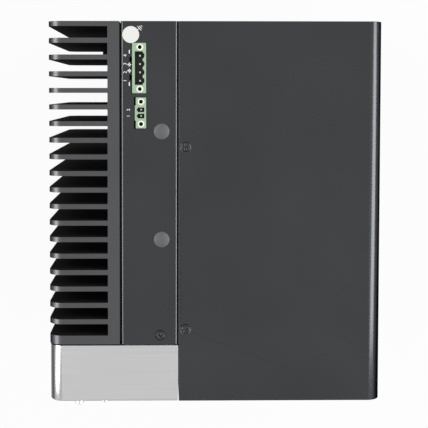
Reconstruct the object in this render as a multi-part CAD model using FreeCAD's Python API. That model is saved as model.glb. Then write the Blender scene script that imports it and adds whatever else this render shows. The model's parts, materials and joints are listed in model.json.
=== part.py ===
import FreeCAD, Part
import math
import os

from FreeCAD import Vector

# Fanless industrial PC, lying on its far side.
# X runs from the fin tips (-X) to the base of the cover (+X), Y from the bezel (-Y) to the
# rear connectors (+Y), Z from the far side (0) up to the side with the terminals.

# ---- Case, stacked along X -------------------------------------------------------------
fin_height = 36.2
sink_base = 7.2
sink_seam = 0.8
panel_width = 34.8
cover_seam = 0.6
cover_height = 124.4

# ---- Case, along Y and Z ---------------------------------------------------------------
case_length = 233.0
case_width = 150.0
bezel_depth = 34.5
bezel_seam = 0.8
bezel_step = 0.4
corner_radius = 8.0

# ---- Sheet metal -----------------------------------------------------------------------
sheet = 1.2
bend = 0.6
fold = 14.0
lap = 12.0
seat = 0.3

# ---- Heat sink -------------------------------------------------------------------------
fin_count = 19
fin_thick = 3.0
end_bar = 5.4
fin_root_radius = 0.4
web_height = 10.9
web_width = 12.0
spreader_size = 46.0
chipset_spreader_size = 28.0
spreader_chamfer = 2.0
gasket_rim = 2.0

# ---- Front bezel -----------------------------------------------------------------------
bezel_wall = 3.0
bezel_edge = 0.8
boss_radius = 4.0
boss_inset = 14.0
boss_column = 8.4
post_radius = 3.2
post_drop = 28.0
post_side = 3.0
cable_width = 10.0
cable_height = 24.0

# ---- Screws ----------------------------------------------------------------------------
screw_r = 1.5
screw_head_r = 3.1
screw_head_h = 1.7
pan_head_r = 2.75
pan_head_h = 1.9
screw_clear = 0.15
screw_length = 6.0
screw_grip = 8.0
cover_screw_inset = 4.1
cover_screw_y = (40.2, -71.9)
panel_screw_inset = 5.5

# ---- Hole plugs ------------------------------------------------------------------------
plug_r = 4.75
plug_hole_r = 4.0
plug_dome = 0.9
plug_inset = 9.9
plug_y = (49.6, -16.6)

# ---- Mainboard -------------------------------------------------------------------------
board_depth = 15.5
board_thick = 1.6
board_edge = 4.0
board_hole_inset = 6.0
rear_hole_inset = 14.0
rear_hole_setback = 24.0
standoff_flats = 5.5
cpu_size = 37.5
cpu_height = 3.2
cpu_y = 22.0
chip_size = 22.0
chip_height = 1.8
chip_y = -38.0
pad_thick = 0.5
board_front_clear = 2.0
board_rear_clear = 3.0
coil_size = 10.0
coil_height = 4.0
coil_pitch = 12.0
coil_gap = 4.0
can_r = 3.15
can_height = 7.7
can_pitch = 8.0
can_gap = 1.85
battery_r = 10.0
battery_height = 3.2
battery_lift = 1.0
holder_wall = 2.0
holder_height = 4.6
battery_setback = 32.0
battery_inset = 24.0

# ---- Power terminal, 5.08 mm pitch -----------------------------------------------------
power_pitch = 5.08
power_pins = 4
power_body = 8.5
power_cavity = 5.9
lobe_depth = 1.1
power_centre_y = 88.05
power_depth = 12.0
power_flange = 5.08
terminal_wall = 1.6
terminal_floor = 3.0
pin_size = 1.0
pin_recess = 4.6
pin_tail = 0.5
pin_clear = 0.05
pin_offset = 0.45
flange_hole_r = 1.4
flange_hole_share = 0.7
header_clear = 0.5
notch_depth = 1.2
notch_width = 3.4
notch_span = 11.18

# ---- Remote switch terminal, 3.81 mm pitch ---------------------------------------------
remote_pitch = 3.81
remote_pins = 2
remote_body = 6.9
remote_cavity_x = 4.0
remote_cavity_y = 2.8
remote_centre_y = 60.85
remote_flange = 5.59
remote_depth = 9.2
remote_screw_span = 13.6
remote_shoulder = 0.8
remote_step = 0.6
remote_key = 1.2
remote_pin_offset = 0.3
remote_floor = 1.8

# ---- Front controls --------------------------------------------------------------------
control_z = 12.0
power_button_x = 17.2
power_button_r = 2.75
power_button_out = 5.0
reset_button_x = 33.0
reset_button_r = 2.6
reset_button_out = 3.6
led_x = 24.5
led_r = 3.7
led_out = 2.6
led_shank_r = 2.4
button_flange = 1.4
button_flange_h = 1.5
button_travel = 0.8
running_gap = 0.3
stem_r = 2.0
plunger_r = 1.6
plunger_length = 2.4
plunger_clear = 0.2
switch_height = 3.5
switch_size = 6.0
small_board_thick = 1.6
small_board_gap = 9.4
small_board_side = 7.0
small_board_low = 33.0
small_board_top = 4.5
switch_floor = 0.4
lamp_size = 3.6

# ---- Rear connectors -------------------------------------------------------------------
lan_width = 16.0
lan_height = 13.4
lan_length = 21.0
lan_cavity_width = 11.8
lan_cavity_height = 7.4
lan_latch_width = 6.0
lan_latch_height = 2.2
lan_cavity_depth = 14.0
lan_roof = 1.6
usb_width = 14.5
usb_height = 7.0
usb_length = 17.5
usb_cavity_width = 12.5
usb_cavity_height = 5.1
usb_cavity_depth = 12.0
usb_tongue_width = 11.1
usb_tongue_thick = 1.9
usb_tongue_gap = 0.7
usb_tongue_setback = 1.5
video_width = 15.0
video_height = 6.2
video_length = 12.5
video_cavity_width = 13.9
video_cavity_height = 4.5
video_cavity_depth = 9.0
video_tongue_width = 10.6
video_tongue_thick = 1.2
video_tongue_setback = 1.2
video_corner = 0.5
serial_width = 30.8
serial_height = 12.5
serial_depth = 10.0
serial_wall = 0.6
serial_shell_width = 16.9
serial_shell_height = 8.3
serial_shell_out = 5.8
serial_screw_span = 24.99
serial_pitch = 2.77
serial_row = 2.84
serial_pin_r = 0.5
serial_pin_start = 0.5
serial_pin_setback = 0.9
serial_bore_depth = 6.0
serial_nut_r = 2.7
serial_nut_height = 4.5
serial_nut_grip = 4.0
serial_thread_r = 1.1
serial_thread_depth = 4.0
port_margin = 11.5
port_clear = 3.6
rear_fold = 11.0

# ---- Expansion bay ---------------------------------------------------------------------
slot_pitch = 20.32
slot_count = 2
slot_length = 89.0
slot_width = 7.5
slot_height = 11.0
first_slot = 34.4
slot_wall = 2.0
slot_gap = 1.8
slot_floor = 3.3
riser_y = 14.5
riser_memory_gap = 5.25
riser_socket_height = 10.0
riser_socket_floor = 4.0
riser_thick = 1.6
riser_window = 4.0
riser_inset = 3.0
riser_overhang = 6.0
blank_width = 18.4
blank_length = 112.0
blank_thick = 0.9
blank_opening = 12.7
blank_rise = 2.0
blank_screw_margin = 12.0
blank_neck_margin = 6.0
blank_screw_inset = 5.0
blank_neck = 10.2
blank_neck_length = 7.0
vent_width = 3.0
vent_length = 34.0
vent_pitch = 7.0
vent_count = 9
vent_margin = 6.0
mount_spacing_y = 140.0
mount_spacing_z = 100.0
mount_hole_r = 2.0
nut_shank_r = 2.8
nut_head_r = 3.8
nut_height = 3.2
fit_gap = 0.1

# ---- Drive -----------------------------------------------------------------------------
drive_length = 100.2
drive_width = 69.85
drive_height = 7.0
drive_drop = 14.0
drive_y = -50.0
drive_hole_span = 76.6
drive_corner = 1.5
drive_shift = -10.0
bracket_fold = 10.0
bracket_end = 1.0
bracket_window = 14.0

# ---- Memory ----------------------------------------------------------------------------
socket_width = 72.0
socket_depth = 6.0
socket_height = 5.2
socket_arm = 2.0
module_width = 67.6
module_length = 30.0
module_thick = 1.2
module_insert = 2.5
module_chips = 4
module_chip_width = 10.0
module_chip_pitch = 15.5
module_chip_height = 1.0
module_chip_margin = 6.0
socket_y = (-68.0, -30.0)

# ---- Places that follow from the sizes -------------------------------------------------
case_height = fin_height + sink_base + sink_seam + panel_width + cover_seam + cover_height
tip_x = -case_height / 2
root_x = tip_x + fin_height
sink_x = root_x + sink_base
panel_x = sink_x + sink_seam
panel_end_x = panel_x + panel_width
cover_x = panel_end_x + cover_seam
base_x = cover_x + cover_height
front_y = -case_length / 2
rear_y = case_length / 2
bezel_y = front_y + bezel_depth
sink_front_y = bezel_y + bezel_seam
sink_length = rear_y - sink_front_y
fin_cell = (sink_length - end_bar) / fin_count
bezel_x = tip_x + bezel_step
bezel_end_x = cover_x - bezel_step
inner_z = case_width - sheet
mid_z = case_width / 2
flange_x = panel_x + sheet
mid_plate_x = cover_x + sheet
board_x = panel_x + board_depth
board_back_x = board_x + board_thick
board_front_y = bezel_y + sheet + pan_head_h + board_front_clear
board_rear_y = rear_y - sheet - board_rear_clear
riser_z = mid_z + socket_width / 2 + riser_memory_gap + slot_width / 2
control_plane_z = case_width - control_z
small_board_y = front_y + bezel_wall + small_board_gap


# ---- Helpers ---------------------------------------------------------------------------
def block(x0, x1, y0, y1, z0, z1):
    """Box between two corners."""
    return Part.makeBox(x1 - x0, y1 - y0, z1 - z0, Vector(x0, y0, z0))


def rod(radius, start, direction, length):
    """Cylinder from a point along a direction."""
    return Part.makeCylinder(radius, length, start, direction)


def rounded_face(corners, radii):
    """Flat face with straight sides and corners rounded by the given radii."""
    count = len(corners)
    joints = []
    edges = []
    for index, corner in enumerate(corners):
        back = (corners[index - 1] - corner).normalize()
        ahead = (corners[(index + 1) % count] - corner).normalize()
        radius = radii[index]
        if radius <= 0:
            joints.append((corner, corner, None))
            continue
        half = back.getAngle(ahead) / 2
        run = radius / math.tan(half)
        middle = (back + ahead).normalize()
        nearest = corner + middle * (radius / math.sin(half) - radius)
        joints.append((corner + back * run, corner + ahead * run, nearest))
    for index, (start, end, nearest) in enumerate(joints):
        if nearest is not None:
            edges.append(Part.Arc(start, nearest, end).toShape())
        following = joints[(index + 1) % count][0]
        if end.distanceToPoint(following) > 1e-6:
            edges.append(Part.makeLine(end, following))
    return Part.Face(Part.Wire(edges))


def across_y(points, y):
    """Points of an XZ profile, placed at one Y."""
    return [Vector(x, y, z) for x, z in points]


def across_z(points, z):
    """Points of an XY profile, placed at one Z."""
    return [Vector(x, y, z) for x, y in points]


def folded_outline(path, radii):
    """Closed outline of a folded sheet from its middle line, with its corner radii.

    The inside of each fold gets the given radius and the outside that plus the sheet."""
    left = []
    right = []
    left_radii = []
    right_radii = []
    for index, (u, v) in enumerate(path):
        here = Vector(u, v, 0)
        normals = []
        if index > 0:
            step = here - Vector(path[index - 1][0], path[index - 1][1], 0)
            normals.append(Vector(-step.y, step.x, 0).normalize())
        if index < len(path) - 1:
            step = Vector(path[index + 1][0], path[index + 1][1], 0) - here
            normals.append(Vector(-step.y, step.x, 0).normalize())
        if len(normals) == 1:
            shift = normals[0] * (sheet / 2)
            radius_left = radius_right = 0
        else:
            shift = (normals[0] + normals[1]) * (sheet / 2 / (1 + normals[0].dot(normals[1])))
            turns_left = normals[0].cross(normals[1]).z > 0
            radius = radii[index - 1]
            outside = radius + sheet if radius > 0 else 0
            radius_left = radius if turns_left else outside
            radius_right = outside if turns_left else radius
        left.append((u + shift.x, v + shift.y))
        right.append((u - shift.x, v - shift.y))
        left_radii.append(radius_left)
        right_radii.append(radius_right)
    return left + right[::-1], left_radii + right_radii[::-1]


def fold_along_y(path, radii, y0, y1):
    """Sheet folded along an XZ path, running along Y."""
    points, corner_radii = folded_outline(path, radii)
    return rounded_face(across_y(points, y0), corner_radii).extrude(Vector(0, y1 - y0, 0))


def fold_along_z(path, radii, z0, z1):
    """Sheet folded along an XY path, running along Z."""
    points, corner_radii = folded_outline(path, radii)
    return rounded_face(across_z(points, z0), corner_radii).extrude(Vector(0, 0, z1 - z0))


def far_side(shape):
    """Mirror image of a piece on the opposite side of the case."""
    return shape.mirror(Vector(0, 0, mid_z), Vector(0, 0, 1))


def sunk_screw(point, direction, gap=0.0):
    """Countersunk screw with its head flush at a point; with a gap, the hole for it."""
    head = Part.makeCone(screw_head_r + gap, screw_r + gap, screw_head_h, point, direction)
    return head.fuse(rod(screw_r + gap, point, direction, screw_length + gap)).removeSplitter()


def pan_screw(point, direction, length):
    """Pan head screw whose head bears at a point."""
    head = rod(pan_head_r, point - direction * pan_head_h, direction, pan_head_h)
    return head.fuse(rod(screw_r, point, direction, length)).removeSplitter()


def export(name, shapes):
    """Write one node; several like pieces share a node as separate solids."""
    solids = shapes if isinstance(shapes, list) else [shapes]
    whole = solids[0] if len(solids) == 1 else Part.makeCompound(solids)
    whole.exportStep("parts/" + name + ".step")


TOWARD_X = Vector(1, 0, 0)
TOWARD_Y = Vector(0, 1, 0)
TOWARD_Z = Vector(0, 0, 1)


# ---- Heat sink -------------------------------------------------------------------------
def sink_screw_points():
    """Feet of the screws that hold the heat sink, on the inside of the panel flanges."""
    rows = (sink_front_y + fold, (sink_front_y + rear_y) / 2 + fold, rear_y - fold / 2)
    inset = sheet + fold / 2
    return [Vector(flange_x, y, z) for y in rows for z in (inset, case_width - inset)]


def make_heat_sink():
    """Extruded comb of fins on a base plate, its long corners rounded."""
    corners = [(sink_x, sink_front_y), (sink_x, rear_y)]
    radii = [0, 0]
    for number in range(fin_count):
        top = rear_y - number * fin_cell
        corners += [(tip_x, top), (tip_x, top - fin_thick), (root_x, top - fin_thick)]
        corners.append((root_x, top - fin_cell))
        radii += [0, 0, fin_root_radius, fin_root_radius]
    corners += [(tip_x, sink_front_y + end_bar), (tip_x, sink_front_y)]
    radii += [0, 0]
    comb = rounded_face(across_z(corners, 0), radii).extrude(Vector(0, 0, case_width))
    envelope = rounded_face(
        across_y([(tip_x, 0), (sink_x, 0), (sink_x, case_width), (tip_x, case_width)], sink_front_y),
        [corner_radius, 0, 0, corner_radius],
    ).extrude(Vector(0, sink_length, 0))
    web_top = rear_y - fin_cell - fin_thick / 2
    web = block(root_x - web_height, root_x + fin_root_radius, web_top - fin_cell, web_top, 0, web_width)
    sink = comb.common(envelope).fuse(web).removeSplitter()
    for point in sink_screw_points():
        start = Vector(sink_x, point.y, point.z)
        sink = sink.cut(rod(screw_r + screw_clear, start, -TOWARD_X, screw_grip - sink_seam - sheet + seat))
    return sink


def make_sink_gasket():
    """Flat seal between the heat sink and the flanges of the side panels."""
    ring = block(sink_x, panel_x, sink_front_y + gasket_rim, rear_y - gasket_rim,
                 gasket_rim, case_width - gasket_rim)
    opening = fold - gasket_rim
    ring = ring.cut(block(sink_x, panel_x, sink_front_y + opening, rear_y - opening,
                          opening, case_width - opening))
    for point in sink_screw_points():
        ring = ring.cut(rod(screw_r + screw_clear, Vector(sink_x, point.y, point.z), TOWARD_X, sink_seam))
    return ring


# ---- Side panels -----------------------------------------------------------------------
def side_sheet():
    """Side panel: a flange under the heat sink, the outer face and a lap under the cover."""
    outer = case_width - sheet / 2
    inner = outer - sheet
    step = panel_end_x - fit_gap
    path = [
        (panel_x + sheet / 2, case_width - fold),
        (panel_x + sheet / 2, outer),
        (step - sheet, outer),
        (step, inner),
        (cover_x + lap, inner),
    ]
    panel = fold_along_y(path, [bend] * 3, sink_front_y, rear_y)
    for point in sink_screw_points():
        if point.z > mid_z:
            panel = panel.cut(rod(screw_r + screw_clear, Vector(panel_x, point.y, point.z), TOWARD_X, sheet))
    for screw in cover_screw_places() + panel_screw_places():
        panel = panel.cut(sunk_screw(screw, -TOWARD_Z, screw_clear))
    return panel


def cover_screw_places():
    """Heads of the screws along the edge of the cover, on the terminal side."""
    return [Vector(cover_x + cover_screw_inset, y, case_width) for y in cover_screw_y]


def panel_screw_places():
    """Head of the screw that ties a side panel to the front wall."""
    return [Vector(panel_end_x - panel_width * 0.31, sink_front_y + panel_screw_inset, case_width)]


def plug_places():
    """Centres of the two plugged holes of the terminal panel."""
    return [Vector(panel_end_x - plug_inset, y, case_width) for y in plug_y]


def make_terminal_panel():
    """Side panel with the cut-outs for both terminals and the plugged holes."""
    panel = side_sheet()
    top = case_width + 1
    low = case_width - sheet - 1
    power_half = power_half_length() + seat
    panel = panel.cut(block(board_x - power_body - header_clear, board_x + header_clear,
                            power_centre_y - power_half, power_centre_y + power_half, low, top))
    for side in (-1, 1):
        notch = power_centre_y + side * notch_span / 2
        panel = panel.cut(block(board_x - power_body - header_clear - notch_depth, board_x - power_body,
                                notch - notch_width / 2, notch + notch_width / 2, low, top))
    remote_half = remote_half_length() + seat
    panel = panel.cut(block(board_x - remote_body - header_clear, board_x + header_clear,
                            remote_centre_y - remote_half, remote_centre_y + remote_half, low, top))
    for place in plug_places():
        panel = panel.cut(rod(plug_hole_r, place - TOWARD_Z * (sheet + 1), TOWARD_Z, sheet + 2))
    return panel


def make_hole_plug(place):
    """Snap-in plug: a low dome outside and a hollow barbed shank inside."""
    dome_r = (plug_r ** 2 + plug_dome ** 2) / (2 * plug_dome)
    ball = Part.makeSphere(dome_r, place + TOWARD_Z * (plug_dome - dome_r))
    dome = ball.common(rod(plug_r + 1, place, TOWARD_Z, plug_dome + 1))
    shank_r = plug_hole_r - running_gap
    shank = rod(shank_r, place, -TOWARD_Z, sheet * 3)
    shank = shank.cut(rod(shank_r - 1, place, -TOWARD_Z, sheet * 3))
    return dome.fuse(shank)


# ---- Cover, mid plate and bay plates ---------------------------------------------------
def bay_screw_places():
    """Heads of the screws in the base of the cover."""
    rows = (front_y + sheet + fold / 2, rear_y - sheet - fold / 2)
    span = case_width * 0.3
    return [Vector(base_x, y, z) for y in rows for z in (mid_z - span, mid_z + span)]


def mount_places():
    """Centres of the bracket holes in the base of the cover."""
    return [Vector(base_x, y * mount_spacing_y / 2, mid_z + z * mount_spacing_z / 2)
            for y in (-1, 1) for z in (-1, 1)]


def make_main_cover():
    """U-shaped cover with large rounded folds at the base."""
    low = sheet / 2
    high = case_width - low
    path = [(cover_x, low), (base_x - low, low), (base_x - low, high), (cover_x, high)]
    cover = fold_along_y(path, [corner_radius - sheet, corner_radius - sheet], front_y, rear_y)
    for place in cover_screw_places():
        hole = sunk_screw(place, -TOWARD_Z, screw_clear)
        cover = cover.cut(hole).cut(far_side(hole))
    for place in bay_screw_places():
        cover = cover.cut(sunk_screw(place, -TOWARD_X, screw_clear))
    for place in mount_places():
        cover = cover.cut(rod(nut_shank_r + fit_gap, place, -TOWARD_X, sheet))
    return cover


def make_mid_plate():
    """Channel between the upper case and the expansion bay; it carries the mainboard."""
    low = sheet * 2.5
    web = cover_x + sheet / 2
    path = [(cover_x + lap, low), (web, low), (web, case_width - low), (cover_x + lap, case_width - low)]
    plate = fold_along_y(path, [bend, bend], front_y + sheet + seat, rear_y - sheet - seat)
    for place in cover_screw_places():
        hole = sunk_screw(place, -TOWARD_Z, screw_clear)
        plate = plate.cut(hole).cut(far_side(hole))
    half = slot_length / 2 + riser_window
    return plate.cut(block(cover_x - 1, mid_plate_x + 1, riser_y - half, riser_y + half,
                           riser_z - riser_window, riser_z + riser_window))


def bay_envelope():
    """Space inside the cover, a seat away from its side walls."""
    inside = base_x - sheet
    radius = corner_radius - sheet
    low = sheet + seat
    high = inner_z - seat
    corners = [(cover_x, low), (inside, low), (inside, high), (cover_x, high)]
    return rounded_face(across_y(corners, front_y), [0, radius, radius, 0]).extrude(
        Vector(0, case_length, 0))


def bay_plate():
    """End plate of the bay at the rear, with a flange on the mid plate and one on the cover."""
    wall = rear_y - sheet / 2
    low = mid_plate_x + sheet / 2
    high = base_x - sheet * 1.5
    path = [(low, wall - fold), (low, wall), (high, wall), (high, wall - fold)]
    plate = fold_along_z(path, [bend, bend], sheet + seat, inner_z - seat)
    plate = plate.common(bay_envelope())
    notch_x = cover_x + lap + seat
    lap_edge = 2 * sheet + seat
    flange_edge = 3 * sheet + bend + seat
    for edge, y0, y1 in ((lap_edge, rear_y - sheet, rear_y),
                         (flange_edge, rear_y - fold - sheet, rear_y - sheet)):
        plate = plate.cut(block(cover_x, notch_x, y0, y1, 0, edge))
        plate = plate.cut(block(cover_x, notch_x, y0, y1, case_width - edge, case_width))
    return plate


def vents(plate, x, z):
    """Row of upright vent slots cut through a bay plate at the rear."""
    start = x - vent_pitch * (vent_count - 1) / 2
    radius = vent_width / 2
    for number in range(vent_count):
        middle = start + number * vent_pitch
        reach = vent_length / 2
        corners = [(middle - radius, z - reach), (middle + radius, z - reach),
                   (middle + radius, z + reach), (middle - radius, z + reach)]
        slot = rounded_face(across_y(corners, rear_y - sheet - 1), [radius * 0.999] * 4)
        plate = plate.cut(slot.extrude(Vector(0, sheet + 2, 0)))
    return plate


def make_bay_front_plate():
    """Front plate of the bay, with two fields of vent slots."""
    plate = bay_plate()
    middle = (mid_plate_x + base_x) / 2
    for z in (mid_z - vent_length * 0.75, mid_z + vent_length * 0.75):
        plate = vents(plate, middle, z)
    plate = plate.mirror(Vector(0, 0, 0), TOWARD_Y)
    for place in bay_screw_places():
        plate = plate.cut(sunk_screw(place, -TOWARD_X, screw_clear))
    return plate


def slot_x(number):
    """Middle plane of an expansion slot."""
    return cover_x + first_slot + number * slot_pitch


def blank_low_z():
    """Lower end of the slot blanks, where their screws are."""
    return riser_z + blank_rise - blank_length


def make_bay_rear_plate():
    """Rear plate of the bay, with the expansion slot openings and a field of vent slots."""
    plate = bay_plate()
    low = blank_low_z()
    for number in range(slot_count):
        middle = slot_x(number)
        plate = plate.cut(block(middle - blank_opening / 2, middle + blank_opening / 2,
                                rear_y - sheet - 1, rear_y + 1, low + blank_screw_margin,
                                low + blank_length - blank_neck_margin))
        hole = Vector(middle, rear_y, low + blank_screw_inset)
        plate = plate.cut(rod(screw_r + screw_clear, hole, -TOWARD_Y, sheet))
    plate = vents(plate, base_x - sheet - vent_pitch * vent_count / 2 - vent_margin, mid_z)
    for place in bay_screw_places():
        plate = plate.cut(sunk_screw(place, -TOWARD_X, screw_clear))
    return plate


def make_slot_blank(number):
    """Thin blanking plate over one expansion slot, with a notched end."""
    middle = slot_x(number)
    low = blank_low_z()
    high = low + blank_length
    blank = block(middle - blank_width / 2, middle + blank_width / 2, rear_y, rear_y + blank_thick,
                  low, high)
    neck = (blank_width - blank_neck) / 2
    for side in (-1, 1):
        edge = middle + side * blank_width / 2
        inner = edge - side * neck
        blank = blank.cut(block(min(edge, inner), max(edge, inner), rear_y, rear_y + blank_thick,
                                high - blank_neck_length, high))
    hole = Vector(middle, rear_y, low + blank_screw_inset)
    return blank.cut(rod(screw_r + screw_clear, hole, TOWARD_Y, blank_thick))


def make_blank_screw(number):
    """Screw at the lower end of a slot blank."""
    head = Vector(slot_x(number), rear_y + blank_thick, blank_low_z() + blank_screw_inset)
    return pan_screw(head, -TOWARD_Y, screw_length)


def make_mount_nut(place):
    """Press-in nut behind a bracket hole, flush with the base of the cover."""
    shank = rod(nut_shank_r, place, -TOWARD_X, nut_height)
    head = rod(nut_head_r, place - TOWARD_X * sheet, -TOWARD_X, nut_height - sheet)
    return shank.fuse(head).removeSplitter().cut(rod(mount_hole_r, place, -TOWARD_X, nut_height))


# ---- Front wall and bezel --------------------------------------------------------------
def bezel_screw_places():
    """Feet of the screws that hold the bezel, on the back of the front wall."""
    columns = (panel_x + boss_column, panel_end_x - boss_column)
    return [Vector(x, bezel_y + sheet, z) for x in columns for z in (boss_inset, case_width - boss_inset)]


def end_wall(wall, fold_end):
    """End wall of the upper case between the side panels, folded at both sides."""
    side = sheet * 1.5
    x0 = panel_x + seat
    x1 = panel_end_x - 2 * sheet + seat
    points, radii = folded_outline(
        [(fold_end, side), (wall, side), (wall, case_width - side), (fold_end, case_width - side)],
        [bend, bend])
    plate = rounded_face([Vector(x0, y, z) for y, z in points], radii).extrude(Vector(x1 - x0, 0, 0))
    low = min(wall, fold_end) - sheet
    high = max(wall, fold_end) + sheet
    corner_x = flange_x + bend + seat
    plate = plate.cut(block(x0, corner_x, low, high, 0, fold + seat))
    return plate.cut(block(x0, corner_x, low, high, case_width - fold - seat, case_width))


def make_front_wall():
    """Wall that closes the upper case behind the bezel."""
    wall = bezel_y + sheet / 2
    plate = end_wall(wall, wall + fold)
    for place in bezel_screw_places():
        plate = plate.cut(rod(screw_r + screw_clear, place - TOWARD_Y * sheet, TOWARD_Y, sheet))
    for screw in panel_screw_places():
        hole = sunk_screw(screw, -TOWARD_Z, screw_clear)
        plate = plate.cut(hole).cut(far_side(hole))
    cable_x = (panel_x + panel_end_x) / 2
    return plate.cut(block(cable_x - cable_width / 2, cable_x + cable_width / 2, bezel_y, bezel_y + sheet,
                           mid_z - cable_height / 2, mid_z + cable_height / 2))


def make_front_bezel():
    """Machined cap over the front end, hollow from behind, with screw bosses inside."""
    def shell(x0, x1, y0, y1, low, high, radius):
        corners = [(x0, low), (x1, low), (x1, high), (x0, high)]
        return rounded_face(across_y(corners, y0), [radius, 0, 0, radius]).extrude(Vector(0, y1 - y0, 0))

    bezel = shell(bezel_x, bezel_end_x, front_y, bezel_y, 0, case_width, corner_radius)
    front_edges = [edge for edge in bezel.Edges if edge.BoundBox.YMax < front_y + 0.01]
    bezel = bezel.makeChamfer(bezel_edge, front_edges)
    bezel = bezel.cut(shell(bezel_x + bezel_wall, bezel_end_x - bezel_wall, front_y + bezel_wall, bezel_y,
                            bezel_wall, case_width - bezel_wall, corner_radius - bezel_wall))
    for place in bezel_screw_places():
        start = Vector(place.x, front_y + bezel_wall / 2, place.z)
        bezel = bezel.fuse(rod(boss_radius, start, TOWARD_Y, bezel_y - start.y))
    for x, z in small_board_posts():
        start = Vector(x, front_y + bezel_wall / 2, z)
        bezel = bezel.fuse(rod(post_radius, start, TOWARD_Y, small_board_y - start.y))
    bezel = bezel.removeSplitter()
    for place in bezel_screw_places():
        start = Vector(place.x, bezel_y, place.z)
        bezel = bezel.cut(rod(screw_r + screw_clear, start, -TOWARD_Y, screw_grip + 1))
    for x, z in small_board_posts():
        start = Vector(x, small_board_y, z)
        bezel = bezel.cut(rod(screw_r + screw_clear, start, -TOWARD_Y, screw_length))
    for centre, radius in ((power_button_x, power_button_r), (reset_button_x, reset_button_r),
                           (led_x, led_shank_r)):
        start = Vector(bezel_x + centre, front_y, control_plane_z)
        bezel = bezel.cut(rod(radius + running_gap, start, TOWARD_Y, bezel_wall))
    return bezel


# ---- Front controls --------------------------------------------------------------------
def small_board_posts():
    """Places of the posts that carry the button board, in X and Z."""
    low = control_plane_z - post_drop
    return [(bezel_x + power_button_x - post_side, low), (bezel_x + reset_button_x + post_side, low)]


def make_button(offset, radius, out):
    """Push button: chamfered cap, retaining flange behind the wall and a stem to the switch."""
    front = Vector(bezel_x + offset, front_y - out, control_plane_z)
    wall_back = front_y + bezel_wall
    cap = rod(radius, front, TOWARD_Y, wall_back + running_gap + button_flange_h - front.y)
    rim = [edge for edge in cap.Edges if abs(edge.CenterOfMass.y - front.y) < 0.01 and edge.Length > radius]
    cap = cap.makeChamfer(radius * 0.25, rim[:1])
    flange_start = Vector(front.x, wall_back + running_gap, front.z)
    flange = rod(radius + button_flange, flange_start, TOWARD_Y, button_flange_h)
    stem_start = Vector(front.x, wall_back + running_gap, front.z)
    stem = rod(stem_r, stem_start, TOWARD_Y, plunger_front_y() - stem_start.y)
    return cap.fuse([flange, stem]).removeSplitter()


def plunger_front_y():
    """Front face of a switch plunger at rest."""
    return small_board_y - switch_height - button_travel - plunger_clear


def make_plunger(offset):
    """Plunger of a tactile switch."""
    start = Vector(bezel_x + offset, plunger_front_y(), control_plane_z)
    return rod(plunger_r, start, TOWARD_Y, plunger_length)


def make_switch(offset):
    """Body of a tactile switch, bored for its plunger."""
    x = bezel_x + offset
    half = switch_size / 2
    body = block(x - half, x + half, small_board_y - switch_height, small_board_y,
                 control_plane_z - half, control_plane_z + half)
    start = Vector(x, small_board_y - switch_height, control_plane_z)
    return body.cut(rod(plunger_r + running_gap, start, TOWARD_Y, switch_height - switch_floor))


def make_led_lens():
    """Domed lens with a shank through the bezel wall, down to the lamp."""
    front = Vector(bezel_x + led_x, front_y, control_plane_z)
    dome_r = (led_r ** 2 + led_out ** 2) / (2 * led_out)
    ball = Part.makeSphere(dome_r, front + TOWARD_Y * (dome_r - led_out))
    dome = ball.common(rod(led_r + 1, front, -TOWARD_Y, led_out + 1))
    lamp_front = small_board_y - switch_height
    return dome.fuse(rod(led_shank_r, front, TOWARD_Y, lamp_front - seat - front.y)).removeSplitter()


def make_status_lamp():
    """Lamp on the button board behind the lens."""
    x = bezel_x + led_x
    half = lamp_size / 2
    return block(x - half, x + half, small_board_y - switch_height, small_board_y,
                 control_plane_z - half, control_plane_z + half)


def make_button_board():
    """Small circuit board that carries the switches and the lamp."""
    x0 = bezel_x + power_button_x - small_board_side
    x1 = bezel_x + reset_button_x + small_board_side
    board = block(x0, x1, small_board_y, small_board_y + small_board_thick,
                  control_plane_z - small_board_low, control_plane_z + small_board_top)
    for x, z in small_board_posts():
        start = Vector(x, small_board_y, z)
        board = board.cut(rod(screw_r + screw_clear, start, TOWARD_Y, small_board_thick))
    return board


# ---- Terminals -------------------------------------------------------------------------
def power_half_length():
    """Half the length of the power terminal with its flanges."""
    return power_pitch * power_pins / 2 + power_flange


def remote_half_length():
    """Half the length of the remote switch terminal with its flanges."""
    return remote_pitch * remote_pins / 2 + remote_flange


def pin_rows(centre, pitch, count):
    """Places of pins along Y."""
    return [centre + pitch * (number - (count - 1) / 2) for number in range(count)]


def make_power_terminal():
    """Flanged header with one long cavity; a scallop for each pin keys the plug."""
    half = power_half_length()
    z0 = case_width - power_depth
    body = block(board_x - power_body, board_x, power_centre_y - half, power_centre_y + half, z0, case_width)
    cavity_half = power_pitch * power_pins / 2
    cavity_x = board_x - power_body + terminal_wall
    lobe_r = power_pitch * 0.42
    cavity_end = cavity_x + power_cavity
    cavity = block(cavity_x, cavity_end - lobe_depth, power_centre_y - cavity_half,
                   power_centre_y + cavity_half, z0 + terminal_floor, case_width)
    lobes = [rod(lobe_r, Vector(cavity_end - lobe_r, y, z0 + terminal_floor), TOWARD_Z,
                 power_depth - terminal_floor) for y in pin_rows(power_centre_y, power_pitch, power_pins)]
    body = body.cut(cavity.fuse(lobes))
    for side in (-1, 1):
        y = power_centre_y + side * (cavity_half + power_flange / 2)
        mouth = Vector(board_x - power_body / 2, y, case_width)
        body = body.cut(rod(flange_hole_r, mouth, -TOWARD_Z, power_depth * flange_hole_share))
    for y in pin_rows(power_centre_y, power_pitch, power_pins):
        body = body.cut(pin_blade(power_pin_x(), y, z0, pin_clear))
    return body


def power_pin_x():
    """Pin line of the power terminal."""
    return board_x - power_body / 2 + pin_offset


def pin_blade(x, y, start, gap=0.0):
    """Square pin up from the back of a header; with a gap, the hole for it."""
    half = pin_size / 2 + gap
    return block(x - half, x + half, y - half, y + half, start - pin_tail, case_width - pin_recess)


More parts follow.
